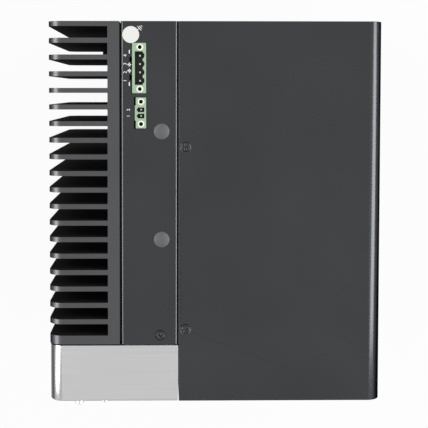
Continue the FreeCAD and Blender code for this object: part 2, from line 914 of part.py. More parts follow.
def make_power_pins():
    """Pins of the power terminal."""
    z0 = case_width - power_depth
    return [pin_blade(power_pin_x(), y, z0) for y in pin_rows(power_centre_y, power_pitch, power_pins)]


def remote_pin_x():
    """Pin line of the remote switch terminal."""
    return board_x - remote_body / 2 + remote_pin_offset


def make_remote_terminal():
    """Small flanged header with a separate keyed cavity for each pin."""
    half = remote_half_length()
    z0 = case_width - remote_depth
    body = block(board_x - remote_body + remote_step, board_x, remote_centre_y - half, remote_centre_y + half,
                 z0, case_width)
    centre_half = remote_pitch * remote_pins / 2 + remote_shoulder
    body = body.fuse(block(board_x - remote_body, board_x, remote_centre_y - centre_half,
                           remote_centre_y + centre_half, z0, case_width)).removeSplitter()
    x = remote_pin_x()
    floor = z0 + remote_floor
    for y in pin_rows(remote_centre_y, remote_pitch, remote_pins):
        body = body.cut(block(x - remote_cavity_x / 2, x + remote_cavity_x / 2,
                              y - remote_cavity_y / 2, y + remote_cavity_y / 2, floor, case_width))
        key = x - remote_cavity_x / 2
        body = body.cut(block(key - remote_key / 2, key, y - remote_key / 2, y + remote_key / 2,
                              floor, case_width))
        body = body.cut(pin_blade(x, y, z0, pin_clear))
    for side in (-1, 1):
        mouth = Vector(x, remote_centre_y + side * remote_screw_span / 2, case_width)
        body = body.cut(rod(flange_hole_r, mouth, -TOWARD_Z, remote_depth * flange_hole_share))
    return body


def make_remote_pins():
    """Pins of the remote switch terminal."""
    z0 = case_width - remote_depth
    return [pin_blade(remote_pin_x(), y, z0) for y in pin_rows(remote_centre_y, remote_pitch, remote_pins)]


# ---- Rear connectors -------------------------------------------------------------------
def port_places():
    """Lower Z edge of each rear connector, spread evenly from the far side to the power terminal."""
    widths = {"serial": serial_width, "video": video_width, "usb_a": usb_width, "usb_b": usb_width,
              "lan_a": lan_width, "lan_b": lan_width}
    room = case_width - power_depth - port_clear - port_margin - sum(widths.values())
    places = {}
    z = port_margin
    for name, width in widths.items():
        places[name] = z
        z += width + room / (len(widths) - 1)
    return places


def make_lan_jack(z):
    """Network jack: a box with a stepped cavity for the plug and its latch."""
    x0 = board_x - lan_height
    jack = block(x0, board_x, rear_y - lan_length, rear_y, z, z + lan_width)
    middle = z + lan_width / 2
    top = x0 + lan_roof
    cavity = block(top, top + lan_cavity_height, rear_y - lan_cavity_depth, rear_y,
                   middle - lan_cavity_width / 2, middle + lan_cavity_width / 2)
    latch = block(top + lan_cavity_height, top + lan_cavity_height + lan_latch_height,
                  rear_y - lan_cavity_depth, rear_y,
                  middle - lan_latch_width / 2, middle + lan_latch_width / 2)
    return jack.cut(cavity.fuse(latch))


def make_usb_socket(z):
    """Serial bus socket: a shell with an offset tongue inside."""
    x0 = board_x - usb_height
    socket = block(x0, board_x, rear_y - usb_length, rear_y, z, z + usb_width)
    middle = z + usb_width / 2
    wall = (usb_height - usb_cavity_height) / 2
    cavity = block(x0 + wall, board_x - wall, rear_y - usb_cavity_depth, rear_y,
                   middle - usb_cavity_width / 2, middle + usb_cavity_width / 2)
    tongue_x = x0 + wall + usb_tongue_gap
    tongue = block(tongue_x, tongue_x + usb_tongue_thick, rear_y - usb_cavity_depth,
                   rear_y - usb_tongue_setback,
                   middle - usb_tongue_width / 2, middle + usb_tongue_width / 2)
    return socket.cut(cavity.cut(tongue))


def video_outline(width, height, x0, middle, y):
    """Outline of the display plug: a bar with its two lower corners cut away."""
    cut = height * 0.4
    half = width / 2
    corners = [(x0, middle - half), (x0, middle + half), (x0 + height - cut, middle + half),
               (x0 + height, middle + half - cut), (x0 + height, middle - half + cut),
               (x0 + height - cut, middle - half)]
    return rounded_face(across_y(corners, y), [video_corner] * 6)


def make_video_socket(z):
    """Display socket with chamfered lower corners and a thin tongue."""
    x0 = board_x - video_height
    middle = z + video_width / 2
    socket = block(x0, board_x, rear_y - video_length, rear_y, z, z + video_width)
    wall = (video_height - video_cavity_height) / 2
    start = rear_y - video_cavity_depth
    cavity = video_outline(video_cavity_width, video_cavity_height, x0 + wall, middle, start).extrude(
        Vector(0, video_cavity_depth, 0))
    tongue_x = x0 + wall + video_cavity_height / 2 - video_tongue_thick / 2
    tongue = block(tongue_x, tongue_x + video_tongue_thick, start, rear_y - video_tongue_setback,
                   middle - video_tongue_width / 2, middle + video_tongue_width / 2)
    return socket.cut(cavity.cut(tongue))


def serial_middle():
    """Centre of the serial connector in X and Z."""
    return board_x - serial_height / 2, port_places()["serial"] + serial_width / 2


def trapezoid(width, height, x, z, y):
    """Outline of a D-shaped shell, its longer side towards the board."""
    slant = height * 0.18
    corners = [(x - height / 2, z - width / 2 + slant), (x + height / 2, z - width / 2),
               (x + height / 2, z + width / 2), (x - height / 2, z + width / 2 - slant)]
    return rounded_face(across_y(corners, y), [height * 0.25] * 4)


def make_serial_connector():
    """Nine-way connector: flange, D-shaped shell and two rows of pins."""
    x, z = serial_middle()
    body = block(board_x - serial_height, board_x, rear_y - sheet - serial_depth, rear_y - sheet,
                 z - serial_width / 2, z + serial_width / 2)
    out = sheet + serial_shell_out
    shell = trapezoid(serial_shell_width, serial_shell_height, x, z, rear_y - sheet).extrude(
        Vector(0, out, 0))
    hollow = trapezoid(serial_shell_width - 2 * serial_wall, serial_shell_height - 2 * serial_wall,
                       x, z, rear_y - sheet).extrude(Vector(0, out, 0))
    body = body.fuse(shell.cut(hollow)).removeSplitter()
    for side in (-1, 1):
        start = Vector(x, rear_y - sheet, z + side * serial_screw_span / 2)
        body = body.cut(rod(flange_hole_r, start, -TOWARD_Y, serial_bore_depth))
    rows = ((x + serial_row / 2, 5), (x - serial_row / 2, 4))
    pins = [rod(serial_pin_r, Vector(row, rear_y - sheet - serial_pin_start, place), TOWARD_Y,
                out + serial_pin_start - serial_pin_setback)
            for row, count in rows for place in pin_rows(z, serial_pitch, count)]
    return body.fuse(pins)


def make_serial_nut(side):
    """Hexagonal jack screw beside the serial connector."""
    x, z = serial_middle()
    centre = Vector(x, rear_y, z + side * serial_screw_span / 2)
    hexagon = Part.Face(Part.makePolygon(
        [centre + Vector(math.sin(a * math.pi / 3), 0, math.cos(a * math.pi / 3)) * serial_nut_r
         for a in range(7)]))
    head = hexagon.extrude(TOWARD_Y * serial_nut_height)
    shank = rod(flange_hole_r - fit_gap, centre, -TOWARD_Y, sheet + serial_nut_grip)
    thread = rod(serial_thread_r, centre + TOWARD_Y * serial_nut_height, -TOWARD_Y, serial_thread_depth)
    return head.fuse(shank).cut(thread)


def make_rear_io_panel():
    """Rear wall of the upper case with the port cut-outs."""
    wall = rear_y - sheet / 2
    panel = end_wall(wall, wall - rear_fold)
    places = port_places()
    cuts = [(lan_height, lan_width, places["lan_a"]), (lan_height, lan_width, places["lan_b"]),
            (usb_height, usb_width, places["usb_a"]), (usb_height, usb_width, places["usb_b"]),
            (video_height, video_width, places["video"])]
    for height, width, z in cuts:
        panel = panel.cut(block(board_x - height - seat, board_x + seat, rear_y - sheet, rear_y,
                                z - seat, z + width + seat))
    x, z = serial_middle()
    hole = trapezoid(serial_shell_width + 2 * seat, serial_shell_height + 2 * seat, x, z, rear_y - sheet)
    panel = panel.cut(hole.extrude(Vector(0, sheet, 0)))
    for side in (-1, 1):
        start = Vector(x, rear_y, z + side * serial_screw_span / 2)
        panel = panel.cut(rod(flange_hole_r + screw_clear, start, -TOWARD_Y, sheet))
    return panel


# ---- Mainboard and what stands on it ---------------------------------------------------
def board_holes():
    """Fixing holes of the mainboard, in Y and Z."""
    rows = ((board_front_y + board_hole_inset, board_hole_inset),
            ((board_front_y + board_rear_y) / 2, board_hole_inset),
            (board_rear_y - rear_hole_setback, rear_hole_inset))
    return [(y, z) for y, inset in rows for z in (board_edge + inset, case_width - board_edge - inset)]


def make_mainboard():
    """Main circuit board, parallel to the heat sink."""
    board = block(board_x, board_back_x, board_front_y, board_rear_y, board_edge, case_width - board_edge)
    for y, z in board_holes():
        board = board.cut(rod(screw_r + screw_clear, Vector(board_x, y, z), TOWARD_X, board_thick))
    return board


def make_standoff(y, z):
    """Hexagonal standoff between the mid plate and the mainboard."""
    radius = standoff_flats / math.sqrt(3)
    start = Vector(board_back_x, y, z)
    hexagon = Part.Face(Part.makePolygon(
        [start + Vector(0, radius * math.sin(a * math.pi / 3), radius * math.cos(a * math.pi / 3))
         for a in range(7)]))
    post = hexagon.extrude(Vector(cover_x - board_back_x, 0, 0))
    return post.cut(rod(screw_r + screw_clear, start, TOWARD_X, screw_grip))


def make_chip(y, size, height):
    """Flat chip package with a raised lid."""
    half = size / 2
    base = block(board_x - height * 0.4, board_x, y - half, y + half, mid_z - half, mid_z + half)
    lid = half * 0.8
    return base.fuse(block(board_x - height, board_x - height * 0.4, y - lid, y + lid,
                           mid_z - lid, mid_z + lid))


def make_pad(y, size, height):
    """Thermal pad on the lid of a chip."""
    half = size * 0.4
    top = board_x - height
    return block(top - pad_thick, top, y - half, y + half, mid_z - half, mid_z + half)


def make_spreader(y, size, height):
    """Metal block that carries heat from a chip to the heat sink, chamfered at its foot."""
    half = size / 2
    foot = board_x - height - pad_thick
    body = block(sink_x, foot, y - half, y + half, mid_z - half, mid_z + half)
    rim = [edge for edge in body.Edges if abs(edge.CenterOfMass.x - foot) < 0.01]
    return body.makeChamfer(spreader_chamfer, rim)


def coil_row_z():
    """Row of the inductors, beside the processor's heat block."""
    return mid_z + spreader_size / 2 + coil_gap + coil_size / 2


def make_inductor(number):
    """Power inductor beside the processor, counted from the middle one."""
    y = cpu_y + number * coil_pitch
    half = coil_size / 2
    z = coil_row_z()
    return block(board_x - coil_height, board_x, y - half, y + half, z - half, z + half)


def make_capacitor(number):
    """Upright capacitor can beyond the inductors, counted from the middle one."""
    z = coil_row_z() + coil_size / 2 + can_gap + can_r
    return rod(can_r, Vector(board_x, cpu_y + number * can_pitch, z), -TOWARD_X, can_height)


def battery_centre():
    """Foot of the coin cell's axis on the board."""
    return Vector(board_x, board_front_y + battery_setback, board_edge + battery_inset)


def make_battery_holder():
    """Open ring that holds the coin cell on the board."""
    centre = battery_centre()
    well = rod(battery_r + running_gap, centre - TOWARD_X * battery_lift, -TOWARD_X, holder_height)
    return rod(battery_r + holder_wall, centre, -TOWARD_X, holder_height).cut(well)


def make_battery():
    """Coin cell."""
    return rod(battery_r, battery_centre() - TOWARD_X * battery_lift, -TOWARD_X, battery_height)


def make_memory_socket(y):
    """Memory socket under the board, with two latch arms along the module."""
    half = socket_width / 2
    x0 = board_back_x
    x1 = x0 + socket_height
    body = block(x0, x1, y, y + socket_depth, mid_z - half, mid_z + half)
    arm_length = socket_depth - module_insert + module_length
    for side in (-1, 1):
        outer = mid_z + side * half
        inner = outer - side * socket_arm
        arm = block(x0, x1, y, y + arm_length, min(outer, inner), max(outer, inner))
        body = body.fuse(arm)
    slot_low = module_x() - fit_gap
    slot = block(slot_low, slot_low + module_thick + 2 * fit_gap, y + socket_depth - module_insert - fit_gap,
                 y + socket_depth, mid_z - module_width / 2 - fit_gap, mid_z + module_width / 2 + fit_gap)
    return body.cut(slot).removeSplitter()


def module_x():
    """Upper face of the memory modules."""
    return board_back_x + socket_height * 0.55


def make_memory_module(y):
    """Memory module lying in its socket, with four chips on its outer face."""
    start = y + socket_depth - module_insert
    half = module_width / 2
    module = block(module_x(), module_x() + module_thick, start, start + module_length,
                   mid_z - half, mid_z + half)
    back = module_x() + module_thick
    for z in pin_rows(mid_z, module_chip_pitch, module_chips):
        module = module.fuse(block(back, back + module_chip_height,
                                   start + module_insert + module_chip_margin,
                                   start + module_length - module_chip_margin,
                                   z - module_chip_width / 2, z + module_chip_width / 2))
    return module


# ---- Expansion riser -------------------------------------------------------------------
def make_riser_socket():
    """Edge socket on the back of the mainboard for the riser."""
    half = slot_length / 2
    socket = block(board_back_x, board_back_x + riser_socket_height, riser_y - half, riser_y + half,
                   riser_z - slot_width / 2, riser_z + slot_width / 2)
    gap = riser_thick / 2 + fit_gap
    return socket.cut(block(riser_start_x() - fit_gap, board_back_x + riser_socket_height,
                            riser_y - half + slot_wall, riser_y + half - slot_wall,
                            riser_z - gap, riser_z + gap))


def riser_start_x():
    """Inserted edge of the riser."""
    return board_back_x + riser_socket_floor


def make_riser_card():
    """Riser that stands through the mid plate and carries the expansion slots."""
    half = slot_length / 2 - slot_wall - fit_gap
    end = slot_x(slot_count - 1) + slot_width / 2 + riser_overhang
    return block(riser_start_x(), end, riser_y - half, riser_y + half,
                 riser_z - riser_thick / 2, riser_z + riser_thick / 2)


def make_expansion_slot(number):
    """Card slot on the riser."""
    x = slot_x(number)
    half = slot_length / 2 - riser_inset
    base = riser_z - riser_thick / 2
    slot = block(x - slot_width / 2, x + slot_width / 2, riser_y - half, riser_y + half,
                 base - slot_height, base)
    return slot.cut(block(x - slot_gap / 2, x + slot_gap / 2, riser_y - half + slot_wall,
                          riser_y + half - slot_wall, base - slot_height, base - slot_floor))


# ---- Drive -----------------------------------------------------------------------------
def drive_x():
    """Lower and upper faces of the drive."""
    tray = mid_plate_x + drive_drop
    return tray - seat - drive_height, tray - seat


def drive_sides():
    """Z faces of the drive."""
    return mid_z + drive_shift - drive_width / 2, mid_z + drive_shift + drive_width / 2


def make_drive_bracket():
    """Folded hat section under the mid plate that holds the drive between its walls."""
    foot = mid_plate_x + sheet / 2
    tray = mid_plate_x + drive_drop + sheet / 2
    low, high = drive_sides()
    low -= seat + sheet / 2
    high += seat + sheet / 2
    path = [(foot, low - bracket_fold), (foot, low), (tray, low), (tray, high), (foot, high),
            (foot, high + bracket_fold)]
    half = drive_length / 2 + bracket_end
    bracket = fold_along_y(path, [seat] * 4, drive_y - half, drive_y + half)
    window = half - bracket_window
    bracket = bracket.cut(block(tray - sheet, tray + sheet, drive_y - window, drive_y + window,
                                low + bracket_window, high - bracket_window))
    for place, direction in drive_screw_places():
        bracket = bracket.cut(rod(screw_r + screw_clear, place, direction, sheet + seat))
    return bracket


def drive_screw_places():
    """Feet of the drive screws on the bracket walls, with the way they point."""
    low, high = drive_sides()
    x = sum(drive_x()) / 2
    places = []
    for y in (drive_y - drive_hole_span / 2, drive_y + drive_hole_span / 2):
        places.append((Vector(x, y, low - seat - sheet), TOWARD_Z))
        places.append((Vector(x, y, high + seat + sheet), -TOWARD_Z))
    return places


def make_drive():
    """Storage drive with its side screw holes."""
    x0, x1 = drive_x()
    low, high = drive_sides()
    body = block(x0, x1, drive_y - drive_length / 2, drive_y + drive_length / 2, low, high)
    edges = [edge for edge in body.Edges
             if abs(edge.tangentAt(edge.FirstParameter).x) > 0.9]
    body = body.makeFillet(drive_corner, edges)
    for place, direction in drive_screw_places():
        body = body.cut(rod(screw_r + screw_clear, place, direction, screw_length + screw_clear))
    return body


# ---- Build -----------------------------------------------------------------------------
def main():
    os.makedirs("parts", exist_ok=True)
    ports = port_places()
    sunk = [sunk_screw(place, -TOWARD_Z) for place in cover_screw_places()]
    tie = [sunk_screw(place, -TOWARD_Z) for place in panel_screw_places()]

    export("heat_sink", make_heat_sink())
    export("sink_gasket", make_sink_gasket())
    export("heat_sink_screws", [pan_screw(point, -TOWARD_X, screw_grip) for point in sink_screw_points()])
    export("terminal_panel", make_terminal_panel())
    export("far_side_panel", far_side(side_sheet()))
    export("hole_plugs", [make_hole_plug(place) for place in plug_places()])
    export("main_cover", make_main_cover())
    export("cover_screws", sunk + [far_side(screw) for screw in sunk])
    export("panel_screws", tie + [far_side(screw) for screw in tie])
    export("mid_plate", make_mid_plate())
    export("bay_front_plate", make_bay_front_plate())
    export("bay_rear_plate", make_bay_rear_plate())
    export("bay_screws", [sunk_screw(place, -TOWARD_X) for place in bay_screw_places()])
    export("slot_blanks", [make_slot_blank(number) for number in range(slot_count)])
    export("blank_screws", [make_blank_screw(number) for number in range(slot_count)])
    export("mount_nuts", [make_mount_nut(place) for place in mount_places()])
    export("front_wall", make_front_wall())
    export("front_bezel", make_front_bezel())
    export("bezel_screws", [pan_screw(place, -TOWARD_Y, screw_grip) for place in bezel_screw_places()])
    export("power_button", make_button(power_button_x, power_button_r, power_button_out))
    export("power_switch_plunger", make_plunger(power_button_x))
    export("reset_button", make_button(reset_button_x, reset_button_r, reset_button_out))
    export("reset_switch_plunger", make_plunger(reset_button_x))
    export("button_switches", [make_switch(power_button_x), make_switch(reset_button_x)])
    export("led_lens", make_led_lens())
    export("status_lamp", make_status_lamp())
    export("button_board", make_button_board())
    export("button_board_screws", [
        pan_screw(Vector(x, small_board_y + small_board_thick, z), -TOWARD_Y, screw_length)
        for x, z in small_board_posts()])
    export("power_terminal", make_power_terminal())
    export("power_terminal_pins", make_power_pins())
    export("remote_terminal", make_remote_terminal())
    export("remote_terminal_pins", make_remote_pins())
    export("rear_io_panel", make_rear_io_panel())
    export("lan_jacks", [make_lan_jack(ports["lan_a"]), make_lan_jack(ports["lan_b"])])
    export("usb_sockets", [make_usb_socket(ports["usb_a"]), make_usb_socket(ports["usb_b"])])
    export("video_socket", make_video_socket(ports["video"]))
    export("serial_connector", make_serial_connector())
    export("serial_nuts", [make_serial_nut(-1), make_serial_nut(1)])
    export("mainboard", make_mainboard())
    export("board_standoffs", [make_standoff(y, z) for y, z in board_holes()])
    export("board_screws", [pan_screw(Vector(board_x, y, z), TOWARD_X, screw_length)
                            for y, z in board_holes()])
    export("processor", make_chip(cpu_y, cpu_size, cpu_height))
    export("processor_pad", make_pad(cpu_y, cpu_size, cpu_height))
    export("processor_heat_block", make_spreader(cpu_y, spreader_size, cpu_height))
    export("chipset", make_chip(chip_y, chip_size, chip_height))
    export("chipset_pad", make_pad(chip_y, chip_size, chip_height))
    export("chipset_heat_block", make_spreader(chip_y, chipset_spreader_size, chip_height))
    export("inductors", [make_inductor(number) for number in (-1, 0, 1)])
    export("capacitors", [make_capacitor(number) for number in (-2, -1, 0, 1, 2)])
    export("battery_holder", make_battery_holder())
    export("battery", make_battery())
    export("memory_sockets", [make_memory_socket(y) for y in socket_y])
    export("memory_modules", [make_memory_module(y) for y in socket_y])
    export("riser_socket", make_riser_socket())
    export("riser_card", make_riser_card())
    export("expansion_slots", [make_expansion_slot(number) for number in range(slot_count)])
    export("drive_bracket", make_drive_bracket())
    export("drive", make_drive())
    export("drive_screws", [pan_screw(place, direction, screw_length)
                            for place, direction in drive_screw_places()])


main()
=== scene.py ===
import json
import math
from functools import partial

import bmesh
import bpy
from bpy.props import FloatProperty, FloatVectorProperty, PointerProperty
from mathutils import Euler, Matrix, Vector


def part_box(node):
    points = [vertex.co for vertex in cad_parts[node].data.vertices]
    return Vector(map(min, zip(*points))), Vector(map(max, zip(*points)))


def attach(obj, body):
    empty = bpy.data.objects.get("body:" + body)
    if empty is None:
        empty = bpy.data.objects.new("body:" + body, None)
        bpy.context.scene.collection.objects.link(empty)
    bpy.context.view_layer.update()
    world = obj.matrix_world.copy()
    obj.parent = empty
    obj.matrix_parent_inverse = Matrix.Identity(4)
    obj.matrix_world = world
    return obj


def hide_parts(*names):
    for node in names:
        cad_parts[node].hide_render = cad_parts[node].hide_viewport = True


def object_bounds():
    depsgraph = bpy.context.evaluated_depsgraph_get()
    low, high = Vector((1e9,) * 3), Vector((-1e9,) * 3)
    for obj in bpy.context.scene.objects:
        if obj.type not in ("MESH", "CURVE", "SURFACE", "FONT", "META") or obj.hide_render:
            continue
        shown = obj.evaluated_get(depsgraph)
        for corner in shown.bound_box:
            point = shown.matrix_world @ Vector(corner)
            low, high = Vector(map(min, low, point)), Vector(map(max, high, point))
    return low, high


bl_info = {
    "name": "Fanless industrial PC",
    "version": (1, 0, 0),
    "blender": (4, 5, 0),
    "location": "View3D > Sidebar > Industrial PC",
    "description": "Finishes a fanless industrial computer: coats, prints, screws and terminals",
    "category": "Object",
}

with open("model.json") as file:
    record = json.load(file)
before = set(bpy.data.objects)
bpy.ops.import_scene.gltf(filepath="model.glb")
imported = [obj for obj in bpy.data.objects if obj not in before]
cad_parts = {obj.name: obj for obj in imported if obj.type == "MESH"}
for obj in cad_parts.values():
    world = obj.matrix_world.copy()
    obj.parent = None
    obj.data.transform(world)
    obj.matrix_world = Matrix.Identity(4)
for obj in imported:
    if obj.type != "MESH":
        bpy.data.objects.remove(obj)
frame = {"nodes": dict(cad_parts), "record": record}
CAD_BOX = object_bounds()
MM = 0.001
GREY_LOW, GREY_HIGH = 0.3, 0.7  # range of a noise's value that carries its contrast
FOLDED_SHEETS = ("front_bezel", "main_cover", "bay_front_plate", "bay_rear_plate")


# ---- Settings --------------------------------------------------------------------------
class FinishSettings(bpy.types.PropertyGroup):
    """Colours and finish of the computer."""

    coat_color: FloatVectorProperty(
        name="Coat", description="Powder coat of the case", subtype="COLOR", size=4,
        min=0, max=1, default=(0.051, 0.0525, 0.056, 1))
    sink_color: FloatVectorProperty(
        name="Heat sink", description="Anodised heat sink", subtype="COLOR", size=4,
        min=0, max=1, default=(0.082, 0.0835, 0.088, 1))
    # Painted shade: the darker tone given to the channels between the fins.
    channel_color: FloatVectorProperty(
        name="Fin channels", description="Tone between the fins", subtype="COLOR", size=4,
        min=0, max=1, default=(0.03, 0.03, 0.031, 1))
    cap_color: FloatVectorProperty(
        name="Front cap", description="Brushed metal of the front cap", subtype="COLOR", size=4,
        min=0, max=1, default=(0.42, 0.42, 0.423, 1))
    terminal_color: FloatVectorProperty(
        name="Terminals", description="Plastic of the terminals", subtype="COLOR", size=4,
        min=0, max=1, default=(0.28, 0.39, 0.275, 1))
    plug_color: FloatVectorProperty(
        name="Hole plugs", description="Plastic of the hole plugs", subtype="COLOR", size=4,
        min=0, max=1, default=(0.076, 0.076, 0.080, 1))
    grain: FloatProperty(
        name="Coat grain", description="Size of the grain of the powder coat", unit="LENGTH",
        min=0.0001, max=0.003, default=0.0006)
    edge: FloatProperty(
        name="Edge radius", description="Rounding of the sharp edges of the case", unit="LENGTH",
        min=0.00002, max=0.001, default=0.00025)
    corner_radius: FloatProperty(
        name="Corner radius", description="Radius of the case's corners at the fin tips",
        unit="LENGTH", min=0.001, max=0.02, default=0.008)


class DetailSettings(bpy.types.PropertyGroup):
    """Sizes of the pieces that are added to the case."""

    recess_length: FloatProperty(
        name="Recess length", description="Length of the cross recess in a screw head",
        unit="LENGTH", min=0.001, max=0.005, default=0.0034)
    recess_width: FloatProperty(
        name="Recess width", description="Width of the arms of the cross recess",
        unit="LENGTH", min=0.0002, max=0.002, default=0.0008)
    ring_radius: FloatProperty(
        name="Ring radius", description="Radius of the rings round the terminals' screw holes",
        unit="LENGTH", min=0.0015, max=0.003, default=0.0021)
    print_height: FloatProperty(
        name="Print height", description="Height of the printed numbers", unit="LENGTH",
        min=0.001, max=0.005, default=0.0020)
    print_thickness: FloatProperty(
        name="Print thickness", description="Thickness of the printed ink", unit="LENGTH",
        min=0.00001, max=0.0002, default=0.00004)
    sticker_radius: FloatProperty(
        name="Sticker radius", description="Radius of the round sticker", unit="LENGTH",
        min=0.002, max=0.01, default=0.0051)
    lining: FloatProperty(
        name="Port lining", description="Thickness of the plastic lining inside the network jacks",
        unit="LENGTH", min=0.00005, max=0.0005, default=0.00015)


class StudioSettings(bpy.types.PropertyGroup):
    """Camera, lamps and floor."""

    camera_place: FloatVectorProperty(
        name="Camera", description="Place of the camera", subtype="TRANSLATION", size=3,
        default=(-0.0306, 0.07405, 0.7882))
    camera_turn: FloatVectorProperty(
        name="Camera turn", description="Turn of the camera", subtype="EULER", size=3,
        default=(math.radians(-2.73), math.radians(-0.898), math.radians(0.038)))
    lens: FloatProperty(
        name="Lens", description="Focal length in millimetres", min=20, max=200, default=88.27)
    shift: FloatVectorProperty(
        name="Lens shift", description="Shift of the lens across and along", size=2,
        default=(0.075, -0.17))
    left_place: FloatVectorProperty(
        name="Left place", description="Softbox beside the fins, from the middle of the top",
        subtype="TRANSLATION", size=3, default=(-0.93, 0.10, 0.60))
    left_size: FloatVectorProperty(
        name="Left size", description="Width and length of the softbox beside the fins",
        unit="LENGTH", size=2, default=(0.60, 1.3))
    left_radiance: FloatProperty(
        name="Left softbox", description="Brightness of the softbox beside the fins",
        min=0, default=6.0)
    right_place: FloatVectorProperty(
        name="Right place", description="Softbox beside the cover, from the middle of the top",
        subtype="TRANSLATION", size=3, default=(0.92, 0.02, 0.66))
    right_size: FloatVectorProperty(
        name="Right size", description="Width and length of the softbox beside the cover",
        unit="LENGTH", size=2, default=(0.50, 1.6))
    right_radiance: FloatProperty(
        name="Right softbox", description="Brightness of the softbox beside the cover",
        min=0, default=8.4)
    fill: FloatProperty(
        name="Fill", description="Strength of the even fill light", min=0, default=0.08)
    floor_size: FloatProperty(
        name="Floor", description="Side of the square floor", unit="LENGTH", min=0.5, max=10,
        default=8)
    floor_white: FloatProperty(
        name="Floor white", description="Share of plain white where the floor is seen",
        min=0, max=1, default=0.95)


# ---- Node helpers ----------------------------------------------------------------------
def new_group(name, inputs, outputs):
    """Empty shader node group with named float, vector or colour sockets."""
    group = bpy.data.node_groups.new(name, "ShaderNodeTree")
    for label, kind, value in inputs:
        socket = group.interface.new_socket(label, in_out="INPUT", socket_type=kind)
        if value is not None:
            socket.default_value = value
    for label, kind in outputs:
        group.interface.new_socket(label, in_out="OUTPUT", socket_type=kind)
    return group, group.nodes.new("NodeGroupInput"), group.nodes.new("NodeGroupOutput")


def math_node(tree, operation, *operands):
    """Math node; each operand is a socket or a number."""
    node = tree.nodes.new("ShaderNodeMath")
    node.operation = operation
    for index, operand in enumerate(operands):
        if isinstance(operand, (int, float)):
            node.inputs[index].default_value = operand
        else:
            tree.links.new(operand, node.inputs[index])
    return node.outputs[0]


def grain_group():
    """Fine rounded grain, as of powder coat or moulded plastic."""
    group, start, end = new_group(
        "Fine grain",
        [("Vector", "NodeSocketVector", None), ("Frequency", "NodeSocketFloat", 1600.0)],
        [("Height", "NodeSocketFloat"), ("Shade", "NodeSocketFloat")])
    noise = group.nodes.new("ShaderNodeTexNoise")
    noise.inputs["Detail"].default_value = 3.0
    noise.inputs["Roughness"].default_value = 0.6
    group.links.new(start.outputs["Vector"], noise.inputs["Vector"])
    group.links.new(start.outputs["Frequency"], noise.inputs["Scale"])
    broad = group.nodes.new("ShaderNodeTexNoise")
    broad.inputs["Scale"].default_value = 14.0
    broad.inputs["Detail"].default_value = 2.0
    group.links.new(start.outputs["Vector"], broad.inputs["Vector"])
    centred = math_node(group, "SUBTRACT", broad.outputs[0], 0.5)
    shift = math_node(group, "MULTIPLY", centred, 0.3)
    shade = math_node(group, "ADD", noise.outputs[0], shift)
    group.links.new(noise.outputs[0], end.inputs["Height"])
    group.links.new(shade, end.inputs["Shade"])
    return group


def brushed_group():
    """Long fine scratches along the first axis of the vector."""
    group, start, end = new_group(
        "Brushed lines",
        [("Vector", "NodeSocketVector", None), ("Length", "NodeSocketFloat", 25.0),
         ("Fineness", "NodeSocketFloat", 2600.0)],
        [("Height", "NodeSocketFloat"), ("Shade", "NodeSocketFloat")])
    split = group.nodes.new("ShaderNodeSeparateXYZ")
    join = group.nodes.new("ShaderNodeCombineXYZ")
    group.links.new(start.outputs["Vector"], split.inputs[0])
    for axis, density in enumerate(("Length", "Fineness", "Fineness")):
        scaled = math_node(group, "MULTIPLY", split.outputs[axis], start.outputs[density])
        group.links.new(scaled, join.inputs[axis])
    noise = group.nodes.new("ShaderNodeTexNoise")
    noise.inputs["Scale"].default_value = 1.0
    noise.inputs["Detail"].default_value = 4.0
    noise.inputs["Roughness"].default_value = 0.7
    group.links.new(join.outputs[0], noise.inputs["Vector"])
    group.links.new(noise.outputs[0], end.inputs["Height"])
    group.links.new(noise.outputs[0], end.inputs["Shade"])
    return group


def envelope_group():
    """Masks of a case that is rounded along Y at the fin tips: its outer skin and its corners."""
    skin_depth = 0.15 * MM
    least_turn = 0.1 * MM
    inputs = [("Vector", "NodeSocketVector", None)]
    inputs += [(label, "NodeSocketFloat", None) for label in
               ("Edge", "Middle", "Half", "Radius", "Centre", "Extent", "Front")]
    group, start, end = new_group(
        "Rounded envelope", inputs, [("Skin", "NodeSocketFloat"), ("Corner", "NodeSocketFloat")])
    node = partial(math_node, group)
    given = start.outputs
    split = group.nodes.new("ShaderNodeSeparateXYZ")
    group.links.new(given["Vector"], split.inputs[0])
    x, y, z = split.outputs
    out_x = node("MAXIMUM", node("SUBTRACT", given["Edge"], x), 0)
    height = node("ABSOLUTE", node("SUBTRACT", z, given["Middle"]))
    out_z = node("MAXIMUM", node("SUBTRACT", height, given["Half"]), 0)
    reach = node("SQRT", node("ADD", node("POWER", out_x, 2), node("POWER", out_z, 2)))
    skin = node("GREATER_THAN", reach, node("SUBTRACT", given["Radius"], skin_depth))
    along = node("ABSOLUTE", node("SUBTRACT", y, given["Centre"]))
    ends = node("GREATER_THAN", along, given["Extent"])
    group.links.new(node("MAXIMUM", skin, ends), end.inputs["Skin"])
    both = node("GREATER_THAN", node("MINIMUM", out_x, out_z), least_turn)
    behind = node("GREATER_THAN", y, given["Front"])
    group.links.new(node("MULTIPLY", both, behind), end.inputs["Corner"])
    return group


def depth_group():
    """One at the top level and above it, falling to nought over the depth of the fade."""
    group, start, end = new_group(
        "Depth below the top",
        [("Vector", "NodeSocketVector", None), ("Top", "NodeSocketFloat", None),
         ("Fade", "NodeSocketFloat", 1.5 * MM)],
        [("Level", "NodeSocketFloat")])
    split = group.nodes.new("ShaderNodeSeparateXYZ")
    group.links.new(start.outputs["Vector"], split.inputs[0])
    depth = math_node(group, "SUBTRACT", start.outputs["Top"], split.outputs[2])
    share = math_node(group, "DIVIDE", depth, start.outputs["Fade"])
    level = math_node(group, "SUBTRACT", 1.0, math_node(group, "MINIMUM", share, 1.0))
    group.links.new(level, end.inputs["Level"])
    return group


def shared_group(name, maker):
    """The named node group, built on first use."""
    return bpy.data.node_groups.get(name) or maker()


